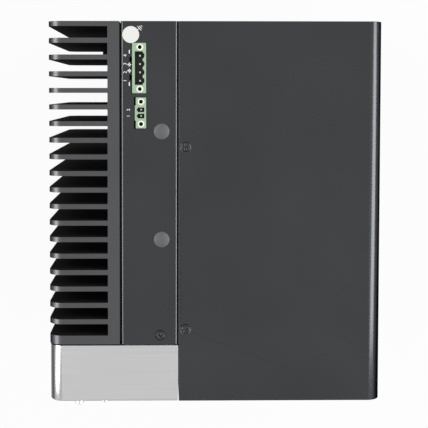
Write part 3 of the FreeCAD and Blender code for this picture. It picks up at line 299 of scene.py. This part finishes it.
def mix_values(tree, factor, first, second, target):
    """Feed a target socket with a number or colour between two, by a factor."""
    mix = tree.nodes.new("ShaderNodeMix")
    mix.data_type = "RGBA" if target.type == "RGBA" else "FLOAT"
    kind = "Color" if target.type == "RGBA" else "Float"
    sockets = {socket.identifier: socket for socket in list(mix.inputs) + list(mix.outputs)}
    tree.links.new(factor, sockets["Factor_Float"])
    for side, value in (("A", first), ("B", second)):
        socket = sockets[f"{side}_{kind}"]
        if hasattr(value, "is_linked"):
            tree.links.new(value, socket)
        else:
            socket.default_value = value
    tree.links.new(sockets[f"Result_{kind}"], target)


def source_of(socket):
    """The socket that feeds another, or its own value."""
    return socket.links[0].from_socket if socket.is_linked else socket.default_value


def use_group(tree, group, **values):
    """Place a node group on object coordinates with its own values."""
    node = tree.nodes.new("ShaderNodeGroup")
    node.node_tree = group
    where = tree.nodes.new("ShaderNodeTexCoord")
    tree.links.new(where.outputs["Object"], node.inputs["Vector"])
    for label, value in values.items():
        node.inputs[label].default_value = value
    return node


def blend_colors(tree, factor, low, high):
    """Colour between two tones, by the value of a noise."""
    ramp = tree.nodes.new("ShaderNodeValToRGB")
    for stop, place, color in zip(ramp.color_ramp.elements, (GREY_LOW, GREY_HIGH), (low, high)):
        stop.position = place
        stop.color = color
    tree.links.new(factor, ramp.inputs[0])
    return ramp.outputs[0]


def spread_value(tree, factor, low, high):
    """Number between two limits, by the value of a noise."""
    node = tree.nodes.new("ShaderNodeMapRange")
    node.inputs["From Min"].default_value = GREY_LOW
    node.inputs["From Max"].default_value = GREY_HIGH
    node.inputs["To Min"].default_value = low
    node.inputs["To Max"].default_value = high
    tree.links.new(factor, node.inputs["Value"])
    return node.outputs[0]


def tint(color, factor):
    """A colour made lighter or darker."""
    return tuple(min(1.0, channel * factor) for channel in color[:3]) + (1.0,)


def add_bump(tree, shader, height, strength, distance):
    """Bump from a height socket into the shader's normal."""
    bump = tree.nodes.new("ShaderNodeBump")
    bump.inputs["Strength"].default_value = strength
    bump.inputs["Distance"].default_value = distance
    tree.links.new(height, bump.inputs["Height"])
    tree.links.new(bump.outputs[0], shader.inputs["Normal"])


def new_material(name):
    """Node material with its tree and its Principled shader."""
    material = bpy.data.materials.new(name)
    material.use_nodes = True
    return material, material.node_tree, material.node_tree.nodes["Principled BSDF"]


# ---- Materials -------------------------------------------------------------------------
def grained_material(name, color, rough, frequency, strength, distance, metal=0.0, spread=0.18,
                     rim=1.0):
    """Coat, plastic or cast finish with a fine grain and slightly uneven colour.

    The frequency is of the grain, per metre. Strength and distance, in metres, are of its bump.
    Spread is the share by which the colour varies, and rim the metal's tone at flat angles.
    """
    material, tree, shader = new_material(name)
    grain = use_group(tree, shared_group("Fine grain", grain_group), Frequency=frequency)
    shade = grain.outputs["Shade"]
    tones = blend_colors(tree, shade, tint(color, 1 - spread), tint(color, 1 + spread))
    tree.links.new(tones, shader.inputs["Base Color"])
    tree.links.new(spread_value(tree, shade, rough - 0.05, rough + 0.05), shader.inputs["Roughness"])
    shader.inputs["Metallic"].default_value = metal
    shader.inputs["Specular Tint"].default_value = (rim, rim, rim, 1)
    add_bump(tree, shader, grain.outputs["Height"], strength, distance)
    return material


def brushed_material(name, color, rough, length, fineness, strength, spread=0.12, metal=1.0):
    """Brushed or drawn metal with streaks along X, whose length and fineness are per metre."""
    material, tree, shader = new_material(name)
    lines = use_group(tree, shared_group("Brushed lines", brushed_group),
                      Length=length, Fineness=fineness)
    shade = lines.outputs["Shade"]
    tones = blend_colors(tree, shade, tint(color, 1 - spread), tint(color, 1 + spread))
    tree.links.new(tones, shader.inputs["Base Color"])
    tree.links.new(spread_value(tree, shade, rough - 0.08, rough + 0.08), shader.inputs["Roughness"])
    shader.inputs["Metallic"].default_value = metal
    add_bump(tree, shader, lines.outputs["Height"], strength, 0.00004)
    return material


def rounded_zone(tree, settings):
    """Masks of the heat sink's rounded envelope, which the front cap continues."""
    radius = settings.corner_radius
    low, high = (Vector(corner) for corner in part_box("heat_sink"))
    middle = (low + high) / 2
    end_rim = 0.2 * MM
    face_rim = 0.9 * MM
    return use_group(tree, shared_group("Rounded envelope", envelope_group),
                     Edge=low.x + radius, Middle=middle.z, Half=(high.z - low.z) / 2 - radius,
                     Radius=radius, Centre=middle.y, Extent=(high.y - low.y) / 2 - end_rim,
                     Front=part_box("front_bezel")[0][1] + face_rim)


def darken_channels(material, settings):
    """Paint shade between the fins: the channels get a darker tone than the outer skin, and a duller
    finish.
    """
    dull = 0.65
    tree = material.node_tree
    shader = tree.nodes["Principled BSDF"]
    skin = rounded_zone(tree, settings).outputs["Skin"]
    color, rough = shader.inputs["Base Color"], shader.inputs["Roughness"]
    # Painted shade: the channels take the darker tone where the skin mask is nought.
    mix_values(tree, skin, settings.channel_color, source_of(color), color)
    mix_values(tree, skin, dull, source_of(rough), rough)
    return material


def polish_corners(material, settings):
    """Give the rounded corners of the front cap a polish, and paint a dark reflection into their
    colour where they turn away from the view.
    """
    polish = 0.21
    # Painted reflection: the dark tone of the corners where they turn away from the view.
    painted_rim_tone = (0.08, 0.08, 0.08, 1)
    turn_start, turn_end = 0.26, 0.42
    tree = material.node_tree
    shader = tree.nodes["Principled BSDF"]
    corner = rounded_zone(tree, settings).outputs["Corner"]
    turned = tree.nodes.new("ShaderNodeLayerWeight")
    dark = tree.nodes.new("ShaderNodeMapRange")
    dark.inputs["From Min"].default_value = turn_start
    dark.inputs["From Max"].default_value = turn_end
    tree.links.new(turned.outputs["Facing"], dark.inputs["Value"])
    # Painted dark reflection, set by how far each corner turns away from the view.
    away = math_node(tree, "MULTIPLY", dark.outputs[0], corner)
    color, rough, metal = (shader.inputs[name] for name in ("Base Color", "Roughness", "Metallic"))
    mix_values(tree, away, source_of(color), painted_rim_tone, color)
    mix_values(tree, corner, source_of(rough), polish, rough)
    mix_values(tree, corner, source_of(metal), 1.0, metal)
    return material


def darken_cavities(material, color):
    """Paint shade into the plastic's colour below the top, as falls in deep cavities."""
    # Painted shade: the dark tone of the plastic below the top.
    cavity_shade_tone = tint(color, 0.14)
    tree = material.node_tree
    target = tree.nodes["Principled BSDF"].inputs["Base Color"]
    depth = use_group(tree, shared_group("Depth below the top", depth_group),
                      Top=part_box("power_terminal")[1][2] - 0.1 * MM)
    mix_values(tree, depth.outputs["Level"], cavity_shade_tone, source_of(target), target)
    return material


def finish_materials(settings):
    """Every finish of the computer, by the record's slot."""
    fine = 1 / settings.grain
    return {
        # The heat sink's fin channels carry painted shade.
        "sink_metal": darken_channels(
            grained_material("Anodised heat sink", settings.sink_color, 0.36, fine, 0.10, 0.00006,
                             metal=1.0, rim=0.0), settings),
        "case_paint": grained_material("Powder coat", settings.coat_color, 0.25, fine, 0.11,
                                       0.00008, metal=1.0, rim=0.0),
        "inner_steel": brushed_material("Zinc plated sheet", (0.58, 0.58, 0.56, 1), 0.4, 60, 1200,
                                        0.05),
        # The cap's corners carry a polish and a painted dark reflection.
        "bezel_metal": polish_corners(
            brushed_material("Brushed cap", settings.cap_color, 0.44, 14, 2200, 0.10, spread=0.05,
                             metal=0.45), settings),
        "dark_screw": grained_material("Black oxide", (0.05, 0.05, 0.05, 1), 0.24, 3000, 0.1,
                                       0.00003, metal=1.0, rim=0.0),
        "plain_screw": grained_material("Plated screws", (0.55, 0.55, 0.53, 1), 0.3, 3000, 0.08,
                                        0.00003, metal=1.0),
        # The terminal plastic carries painted shade in its cavities.
        "terminal_plastic": darken_cavities(
            grained_material("Green terminal plastic", settings.terminal_color, 0.45, 2400, 0.08,
                             0.00004, spread=0.06), settings.terminal_color),
        "plug_plastic": grained_material("Grey plug plastic", settings.plug_color, 0.5, 2200, 0.1,
                                         0.00005, spread=0.06),
        "black_plastic": grained_material("Black plastic", (0.012, 0.012, 0.013, 1), 0.5, 2200,
                                          0.1, 0.00005),
        "port_shell": brushed_material("Plated shells", (0.66, 0.65, 0.62, 1), 0.3, 80, 1800, 0.05),
        "pin_metal": grained_material("Tinned pins", (0.62, 0.60, 0.57, 1), 0.32, 3000, 0.05,
                                      0.00002, metal=1.0),
        "button_metal": brushed_material("Satin buttons", (0.66, 0.66, 0.65, 1), 0.3, 300, 2600,
                                         0.06),
        "lens_plastic": grained_material("Smoked lens", (0.02, 0.02, 0.024, 1), 0.18, 900, 0.02,
                                         0.00002),
        "circuit_board": grained_material("Solder mask", (0.02, 0.13, 0.05, 1), 0.38, 900, 0.06,
                                          0.00004),
        "chip_metal": grained_material("Chip lids", (0.5, 0.5, 0.49, 1), 0.35, 2200, 0.05, 0.00003,
                                       metal=1.0),
        "heat_block": brushed_material("Milled blocks", (0.68, 0.68, 0.67, 1), 0.35, 90, 1500,
                                       0.08),
        "pad_rubber": grained_material("Thermal pad", (0.3, 0.33, 0.38, 1), 0.8, 1500, 0.2,
                                       0.00006),
        "seal_rubber": grained_material("Seal rubber", (0.012, 0.012, 0.012, 1), 0.75, 1500, 0.2,
                                        0.00006),
        "cell_metal": grained_material("Coin cell", (0.6, 0.6, 0.59, 1), 0.22, 2600, 0.04, 0.00002,
                                       metal=1.0),
        "drive_metal": brushed_material("Drive case", (0.42, 0.42, 0.42, 1), 0.42, 70, 1500, 0.08),
    }


def flat_print_material(name, color, rough):
    """Ink or paper with faint unevenness."""
    return grained_material(name, color, rough, 3000, 0.04, 0.00002, spread=0.04)


# ---- Piece helpers ---------------------------------------------------------------------
def start_clean():
    """Leave edit mode and deselect everything."""
    if bpy.context.object and bpy.context.object.mode != "OBJECT":
        bpy.ops.object.mode_set(mode="OBJECT")
    bpy.ops.object.select_all(action="DESELECT")


def settle(piece):
    """Put a piece's place into its mesh, so that its object is at the origin."""
    start_clean()
    piece.select_set(True)
    bpy.context.view_layer.objects.active = piece
    bpy.ops.object.transform_apply(location=True, rotation=True, scale=True)


def finish_piece(piece, name, material):
    """Name a piece, dress it and let it ride on the case."""
    piece.name = name
    piece.data.name = name
    piece.data.materials.clear()
    piece.data.materials.append(material)
    settle(piece)
    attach(piece, "case")
    return piece


def bar(place, size, turn=0.0):
    """Straight bar of a given size round a place, turned about Z."""
    start_clean()
    bpy.ops.mesh.primitive_cube_add(size=1, location=place, rotation=(0, 0, turn), scale=size)
    return bpy.context.object


def block(low, high):
    """Block between two corners."""
    low, high = Vector(low), Vector(high)
    return bar((low + high) / 2, high - low)


def join_pieces(pieces):
    """Join several objects into one."""
    start_clean()
    for piece in pieces:
        piece.select_set(True)
    bpy.context.view_layer.objects.active = pieces[0]
    if len(pieces) > 1:
        bpy.ops.object.join()
    return bpy.context.view_layer.objects.active


def apply_modifiers(piece):
    """Apply every modifier of a piece."""
    start_clean()
    piece.select_set(True)
    bpy.context.view_layer.objects.active = piece
    for modifier in list(piece.modifiers):
        bpy.ops.object.modifier_apply(modifier=modifier.name)


def parts_of(node):
    """Boxes of the separate solids of a CAD node, as pairs of corners."""
    mesh = bmesh.new()
    mesh.from_mesh(frame["nodes"][node].data)
    bmesh.ops.remove_doubles(mesh, verts=mesh.verts, dist=0.001 * MM)
    left = set(mesh.verts)
    boxes = []
    while left:
        seed = left.pop()
        island = [seed]
        front = [seed]
        while front:
            vert = front.pop()
            for edge in vert.link_edges:
                other = edge.other_vert(vert)
                if other in left:
                    left.remove(other)
                    island.append(other)
                    front.append(other)
        low = Vector(min(v.co[axis] for v in island) for axis in range(3))
        high = Vector(max(v.co[axis] for v in island) for axis in range(3))
        boxes.append((low, high))
    mesh.free()
    return sorted(boxes, key=lambda pair: tuple(round(value, 5) for value in pair[0]))


def centres_of(node):
    """Middles of the separate solids of a CAD node."""
    return [(low + high) / 2 for low, high in parts_of(node)]


def round_edges(piece, width, angle):
    """Bevel the edges of a piece that are sharper than an angle."""
    bevel = piece.modifiers.new("Edges", "BEVEL")
    bevel.width = width
    bevel.segments = 2
    bevel.limit_method = "ANGLE"
    bevel.angle_limit = math.radians(angle)
    return bevel


def soften_edges(node, width):
    """Round the sharp edges of a CAD node with modifiers."""
    part = frame["nodes"][node]
    weld = part.modifiers.new("Weld", "WELD")
    weld.merge_threshold = 0.005 * MM
    round_edges(part, width, 35).harden_normals = True


# ---- Operators -------------------------------------------------------------------------
class PC_OT_finish(bpy.types.Operator):
    """Dress every piece of the computer in its own finish"""

    bl_idname = "pc.finish"
    bl_label = "Finish the case"

    def execute(self, context):
        settings = context.scene.pc_finish
        finishes = finish_materials(settings)
        slots = {entry["node"]: entry["material_slot"] for entry in frame["record"]["subparts"]}
        for name, part in frame["nodes"].items():
            part.data.materials.clear()
            part.data.materials.append(finishes[slots[name]])
        for name in FOLDED_SHEETS:
            soften_edges(name, settings.edge)
        return {"FINISHED"}


def screw_head(hole_radius, detail):
    """Countersunk head with a cross recess, its top at the origin and facing up."""
    radius = hole_radius * 0.94
    depth = hole_radius * 0.54
    foot_radius = radius * 0.5
    edge = radius * 0.09
    start_clean()
    bpy.ops.mesh.primitive_cone_add(vertices=48, radius1=foot_radius, radius2=radius, depth=depth,
                                    location=(0, 0, -depth / 2))
    head = bpy.context.object
    recess = (detail.recess_length, detail.recess_width, depth * 1.3)
    cutters = []
    for turn in (0, math.pi / 2):
        cutter = bar((0, 0, 0), recess, turn)
        settle(cutter)
        cut = head.modifiers.new("Recess", "BOOLEAN")
        cut.operation = "DIFFERENCE"
        cut.object = cutter
        cutters.append(cutter)
    round_edges(head, edge, 30)
    apply_modifiers(head)
    for cutter in cutters:
        bpy.data.objects.remove(cutter, do_unlink=True)
    return head


class PC_OT_screws(bpy.types.Operator):
    """Model the countersunk screws with their cross recesses"""

    bl_idname = "pc.screws"
    bl_label = "Screws"

    def execute(self, context):
        detail = context.scene.pc_detail
        material = bpy.data.materials["Black oxide"]
        first_turn, next_turn = 0.4, 0.9
        for node, axis in (("cover_screws", 2), ("panel_screws", 2), ("bay_screws", 0)):
            heads = []
            for index, (low, high) in enumerate(parts_of(node)):
                middle = (low + high) / 2
                side = 1 if middle[axis] > (CAD_BOX[0][axis] + CAD_BOX[1][axis]) / 2 else -1
                head = screw_head((high.y - low.y) / 2, detail)
                head.rotation_euler = (0, 0, first_turn + next_turn * index)
                settle(head)
                if axis == 0:
                    head.rotation_euler = (0, math.pi / 2 * side, 0)
                elif side < 0:
                    head.rotation_euler = (math.pi, 0, 0)
                place = middle.copy()
                place[axis] = (high if side > 0 else low)[axis]
                head.location = place
                settle(head)
                heads.append(head)
            piece = finish_piece(join_pieces(heads), node + "_dressed", material)
            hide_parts(node)
        return {"FINISHED"}


class PC_OT_terminals(bpy.types.Operator):
    """Add the pale rings round the screw holes of both terminals"""

    bl_idname = "pc.terminals"
    bl_label = "Terminals"

    def execute(self, context):
        radius = context.scene.pc_detail.ring_radius
        material = grained_material("Pale rings", (0.72, 0.76, 0.62, 1), 0.4, 2400, 0.05, 0.00003,
                                    spread=0.05)
        width = radius * 0.21
        flatness = 0.35
        rings = []
        for node, inset in (("power_terminal", 2.54 * MM), ("remote_terminal", 2.6 * MM)):
            low, high = (Vector(corner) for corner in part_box(node))
            pins = centres_of(node + "_pins")
            x = sum(pin.x for pin in pins) / len(pins)
            for y in (low.y + inset, high.y - inset):
                start_clean()
                bpy.ops.mesh.primitive_torus_add(major_radius=radius - width, minor_radius=width,
                                                 major_segments=48, minor_segments=12,
                                                 location=(x, y, high.z))
                ring = bpy.context.object
                ring.scale = (1, 1, flatness)
                rings.append(ring)
        finish_piece(join_pieces(rings), "terminal_rings", material)
        return {"FINISHED"}


def printed_text(text, place, height, thickness):
    """Printed characters that read upward along Y, their tops towards the fins."""
    size_of_height = 1.4
    start_clean()
    bpy.ops.object.text_add(location=place, rotation=(0, 0, math.pi / 2))
    label = bpy.context.object
    label.data.body = text
    label.data.size = height * size_of_height
    label.data.align_x = "CENTER"
    label.data.align_y = "CENTER"
    label.data.extrude = thickness / 2
    label.data.resolution_u = 3
    bpy.ops.object.convert(target="MESH")
    return bpy.context.object


def on_top(x, y, lift):
    """Place at a height above the terminal side of the case."""
    return Vector((x, y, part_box("main_cover")[1][2] + lift))


def pin_numbers(node, x, height, thickness):
    """Plain numbers printed beside the pins of a terminal."""
    rows = sorted(pin.y for pin in centres_of(node + "_pins"))
    return [printed_text(str(number), on_top(x, y, thickness / 2), height, thickness)
            for number, y in enumerate(rows, start=1)]


def polarity_signs(x, thickness):
    """Minus, plus, plus and minus sign beside the pins of the power terminal."""
    stroke = 0.55 * MM
    arm = 2.2 * MM
    pins = centres_of("power_terminal_pins")
    middle = sum(pin.y for pin in pins) / len(pins)
    signs = []
    for offset, plus in ((9.9, False), (2.1, True), (-1.6, True), (-9.6, False)):
        place = on_top(x, middle + offset * MM, thickness / 2)
        signs.append(bar(place, (stroke, arm, thickness)))
        if plus:
            signs.append(bar(place, (arm, stroke, thickness)))
    return signs


def earth_sign(corner, thickness):
    """Three bars of falling length and a stem, turned by an eighth of a circle."""
    turn = -math.pi / 4
    stroke = 0.32 * MM
    pitch = 0.95 * MM
    stem = 1.6 * MM
    lengths = (3.6 * MM, 2.3 * MM, 1.0 * MM)
    outward = Vector((1, 1, 0)).normalized() * pitch
    sign = [bar(corner - outward * 0.9, (stroke, stem, thickness), turn)]
    for step, length in enumerate(lengths):
        sign.append(bar(corner + outward * step, (length, stroke, thickness), turn))
    return sign


def sticker_disc(place, radius, thickness):
    """Round sticker with a rounded rim, lying on a place."""
    start_clean()
    bpy.ops.mesh.primitive_cylinder_add(vertices=64, radius=radius, depth=thickness,
                                        location=place + Vector((0, 0, thickness / 2)))
    disc = bpy.context.object
    round_edges(disc, thickness * 0.3, 30)
    apply_modifiers(disc)
    return disc


class PC_OT_prints(bpy.types.Operator):
    """Print the polarity signs and plain numbers, and add the round sticker"""

    bl_idname = "pc.prints"
    bl_label = "Printing and sticker"

    def execute(self, context):
        detail = context.scene.pc_detail
        thickness = detail.print_thickness
        panel_low, panel_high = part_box("terminal_panel")
        left, far = panel_low[0], panel_high[1]
        sign_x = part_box("power_terminal")[0][0] - 1.7 * MM
        power_x = sign_x - 2.5 * MM
        remote_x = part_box("remote_terminal")[0][0] - 3.8 * MM
        remote_height = detail.print_height * 0.95
        ink = flat_print_material("White ink", (0.84, 0.84, 0.84, 1), 0.5)
        marks = polarity_signs(sign_x, thickness)
        marks += pin_numbers("power_terminal", power_x, detail.print_height, thickness)
        marks += pin_numbers("remote_terminal", remote_x, remote_height, thickness)
        marks += earth_sign(on_top(left + 11.4 * MM, far - 4.4 * MM, thickness / 2), thickness)
        finish_piece(join_pieces(marks), "printed_marks", ink)
        paper = flat_print_material("Sticker", (0.64, 0.64, 0.62, 1), 0.45)
        place = on_top(left + 6.2 * MM, far - 8.2 * MM, 0)
        disc = sticker_disc(place, detail.sticker_radius, 0.08 * MM)
        finish_piece(disc, "round_sticker", paper)
        return {"FINISHED"}


def usb_inside(low, high):
    """Tongue of a USB socket and its four contacts."""
    top = low.x + 1.61 * MM
    bottom = top + 1.98 * MM
    middle = (low.z + high.z) / 2
    half = 5.6 * MM
    tongue = block((top, high.y - 11.9 * MM, middle - half),
                   (bottom, high.y - 1.45 * MM, middle + half))
    inner, outer = bottom - 0.08 * MM, bottom + 0.06 * MM
    contact_half = 0.5 * MM
    contacts = []
    for step in (-3.5, -1.25, 1.25, 3.5):
        z = middle + step * MM
        contacts.append(block((inner, high.y - 9 * MM, z - contact_half),
                              (outer, high.y - 2.2 * MM, z + contact_half)))
    return [tongue], contacts


def video_inside(low, high):
    """Tongue of the display socket."""
    top = low.x + 2.46 * MM
    middle = (low.z + high.z) / 2
    half = 5.35 * MM
    tongue = block((top, high.y - 8.9 * MM, middle - half),
                   (top + 1.28 * MM, high.y - 1.15 * MM, middle + half))
    return [tongue], []


def lan_inside(low, high, skin):
    """Lining of a network jack and its eight spring contacts."""
    top = low.x + 1.6 * MM
    bottom = top + 7.4 * MM
    middle = (low.z + high.z) / 2
    half = 5.9 * MM
    latch_half = 3.1 * MM
    back, front = high.y - 13.95 * MM, high.y - 0.6 * MM
    lining = [block((top, back, middle - half), (bottom, back + skin, middle + half)),
              block((top, back, middle - half), (top + skin, front, middle + half))]
    for side in (-1, 1):
        wall, inner, latch = (middle + side * out for out in (half, half - skin, latch_half))
        lining.append(block((top, back, min(wall, inner)), (bottom, front, max(wall, inner))))
        lining.append(block((bottom - skin, back, min(wall, latch)),
                            (bottom, front, max(wall, latch))))
    spring = (0.35 * MM, 10.9 * MM, 0.45 * MM)
    slope = 0.345
    pitch = 1.02 * MM
    count = 8
    contacts = []
    for step in range(count):
        z = middle + (step - (count - 1) / 2) * pitch
        contacts.append(bar(Vector((top + 2.35 * MM, high.y - 7.35 * MM, z)), spring, slope))
    return lining, contacts


def serial_inside(low, high):
    """Black floor of the serial connector's shell, narrower towards the fins."""
    x = (low.x + high.x) / 2
    middle = (low.z + high.z) / 2
    floor = high.y - 5.6 * MM
    half_x, half_z = 3.5 * MM, 7.8 * MM
    narrowing = 0.82
    plate = block((x - half_x, floor, middle - half_z),
                  (x + half_x, floor + 0.5 * MM, middle + half_z))
    settle(plate)
    bpy.ops.object.mode_set(mode="EDIT")
    bpy.ops.mesh.select_all(action="DESELECT")
    bpy.ops.object.mode_set(mode="OBJECT")
    for vertex in plate.data.vertices:
        vertex.select = vertex.co.x < x
    bpy.ops.object.mode_set(mode="EDIT")
    bpy.ops.mesh.select_mode(type="VERT")
    bpy.ops.transform.resize(value=(1, 1, narrowing), center_override=(x, floor, middle))
    bpy.ops.object.mode_set(mode="OBJECT")
    return [plate], []


class PC_OT_ports(bpy.types.Operator):
    """Add the black plastic and the contacts inside the rear ports"""

    bl_idname = "pc.ports"
    bl_label = "Rear ports"

    def execute(self, context):
        skin = context.scene.pc_detail.lining
        fills = {"usb_sockets": usb_inside, "lan_jacks": partial(lan_inside, skin=skin),
                 "video_socket": video_inside, "serial_connector": serial_inside}
        plastics = []
        contacts = []
        for node, fill in fills.items():
            for low, high in parts_of(node):
                plastic, metal = fill(low, high)
                plastics += plastic
                contacts += metal
        black = bpy.data.materials["Black plastic"]
        gold = grained_material("Gold contacts", (0.70, 0.48, 0.20, 1), 0.25, 3000, 0.04, 0.00002,
                                metal=1.0)
        for pieces, name, material, slot in (
                (plastics, "port_plastic", black, "black_plastic"),
                (contacts, "port_contacts", gold, "pin_metal")):
            piece = join_pieces(pieces)
            round_edges(piece, 0.04 * MM, 30)
            apply_modifiers(piece)
            finish_piece(piece, name, material)
        return {"FINISHED"}


def seen_rays(tree):
    """One for rays from the camera, in gloss or through glass, which see the background."""
    rays = tree.nodes.new("ShaderNodeLightPath")
    seen = math_node(tree, "MAXIMUM", rays.outputs["Is Camera Ray"], rays.outputs["Is Glossy Ray"])
    return math_node(tree, "MAXIMUM", seen, rays.outputs["Is Transmission Ray"])


def mix_shaders(tree, factor, first, second, output):
    """Lead a mix of two shaders to an output node."""
    mix = tree.nodes.new("ShaderNodeMixShader")
    for source, target in zip((factor, first, second), mix.inputs):
        tree.links.new(source, target)
    tree.links.new(mix.outputs[0], tree.nodes[output].inputs["Surface"])


def floor_material(white_share):
    """Pale floor: white where it is seen directly, with the shadow of the computer."""
    material, tree, shader = new_material("Pale floor")
    shader.inputs["Base Color"].default_value = (0.5, 0.5, 0.5, 1)
    shader.inputs["Roughness"].default_value = 0.8
    white = tree.nodes.new("ShaderNodeEmission")
    amount = math_node(tree, "MULTIPLY", seen_rays(tree), white_share)
    mix_shaders(tree, amount, shader.outputs[0], white.outputs[0], "Material Output")
    return material


def softbox(name, radiance, place, aim, size):
    """Rectangular lamp aimed at a point, its length along Y."""
    back = (place - aim).normalized()
    across = Vector((0, 1, 0)).cross(back).normalized()
    along = back.cross(across)
    lamp = bpy.data.lights.new(name, "AREA")
    lamp.shape = "RECTANGLE"
    lamp.size, lamp.size_y = size
    lamp.energy = radiance * math.pi * size[0] * size[1]
    box = bpy.data.objects.new(name, lamp)
    box.location = place
    box.rotation_euler = Matrix((across, along, back)).transposed().to_euler()
    bpy.context.collection.objects.link(box)


def room_light(scene, strength):
    """World: white where it is seen directly or in metal and glass, an even fill elsewhere."""
    world = bpy.data.worlds.new("Room")
    scene.world = world
    world.use_nodes = True
    tree = world.node_tree
    fill = tree.nodes["Background"]
    white = tree.nodes.new("ShaderNodeBackground")
    for node, level in ((fill, strength), (white, 1.0)):
        node.inputs["Color"].default_value = (1, 1, 1, 1)
        node.inputs["Strength"].default_value = level
    mix_shaders(tree, seen_rays(tree), fill.outputs[0], white.outputs[0], "World Output")


def place_camera(context, studio):
    """Camera above the terminal side, with its lens shifted a little."""
    view = bpy.data.cameras.new("Camera")
    view.lens = studio.lens
    view.sensor_width = 36
    view.shift_x, view.shift_y = studio.shift
    view.clip_start = 0.01
    view.clip_end = 30
    camera = bpy.data.objects.new("Camera", view)
    camera.location = studio.camera_place
    camera.rotation_euler = Euler(studio.camera_turn, "XYZ")
    context.collection.objects.link(camera)
    context.scene.camera = camera


class PC_OT_stage(bpy.types.Operator):
    """Set up the floor, the room's light, the lamps and the camera"""

    bl_idname = "pc.stage"
    bl_label = "Studio"

    def execute(self, context):
        studio = context.scene.pc_studio
        floor_gap = 0.2 * MM
        start_clean()
        bpy.ops.mesh.primitive_plane_add(size=studio.floor_size, location=(0, 0, -floor_gap))
        floor = bpy.context.object
        floor.name = "floor"
        floor.data.materials.append(floor_material(studio.floor_white))
        room_light(context.scene, studio.fill)
        low, high = (Vector(corner) for corner in CAD_BOX)
        middle = (low + high) / 2
        aim = Vector((middle.x, middle.y, high.z))
        softbox("Left softbox", studio.left_radiance, aim + Vector(studio.left_place), aim,
                studio.left_size)
        softbox("Right softbox", studio.right_radiance, aim + Vector(studio.right_place), aim,
                studio.right_size)
        place_camera(context, studio)
        context.scene.view_settings.view_transform = "Standard"
        return {"FINISHED"}


OPERATORS = (PC_OT_finish, PC_OT_screws, PC_OT_terminals, PC_OT_prints, PC_OT_ports, PC_OT_stage)


class PC_PT_panel(bpy.types.Panel):
    """Lists the steps and the settings"""

    bl_label = "Industrial PC"
    bl_idname = "PC_PT_panel"
    bl_space_type = "VIEW_3D"
    bl_region_type = "UI"
    bl_category = "Industrial PC"

    def draw(self, context):
        for operator in OPERATORS:
            self.layout.operator(operator.bl_idname)
        for settings in (context.scene.pc_finish, context.scene.pc_detail, context.scene.pc_studio):
            for name in settings.__annotations__:
                self.layout.prop(settings, name)


CLASSES = (FinishSettings, DetailSettings, StudioSettings) + OPERATORS + (PC_PT_panel,)


def register():
    """Register the classes and hang the settings on the scene."""
    for cls in CLASSES:
        bpy.utils.register_class(cls)
    bpy.types.Scene.pc_finish = PointerProperty(type=FinishSettings)
    bpy.types.Scene.pc_detail = PointerProperty(type=DetailSettings)
    bpy.types.Scene.pc_studio = PointerProperty(type=StudioSettings)


def unregister():
    """Undo register."""
    del bpy.types.Scene.pc_studio
    del bpy.types.Scene.pc_detail
    del bpy.types.Scene.pc_finish
    for cls in reversed(CLASSES):
        bpy.utils.unregister_class(cls)


def main():
    """Build the pieces in order."""
    register()
    bpy.ops.pc.finish()
    bpy.ops.pc.screws()
    bpy.ops.pc.terminals()
    bpy.ops.pc.prints()
    bpy.ops.pc.ports()
    bpy.ops.pc.stage()


if __name__ == "__main__":
    main()
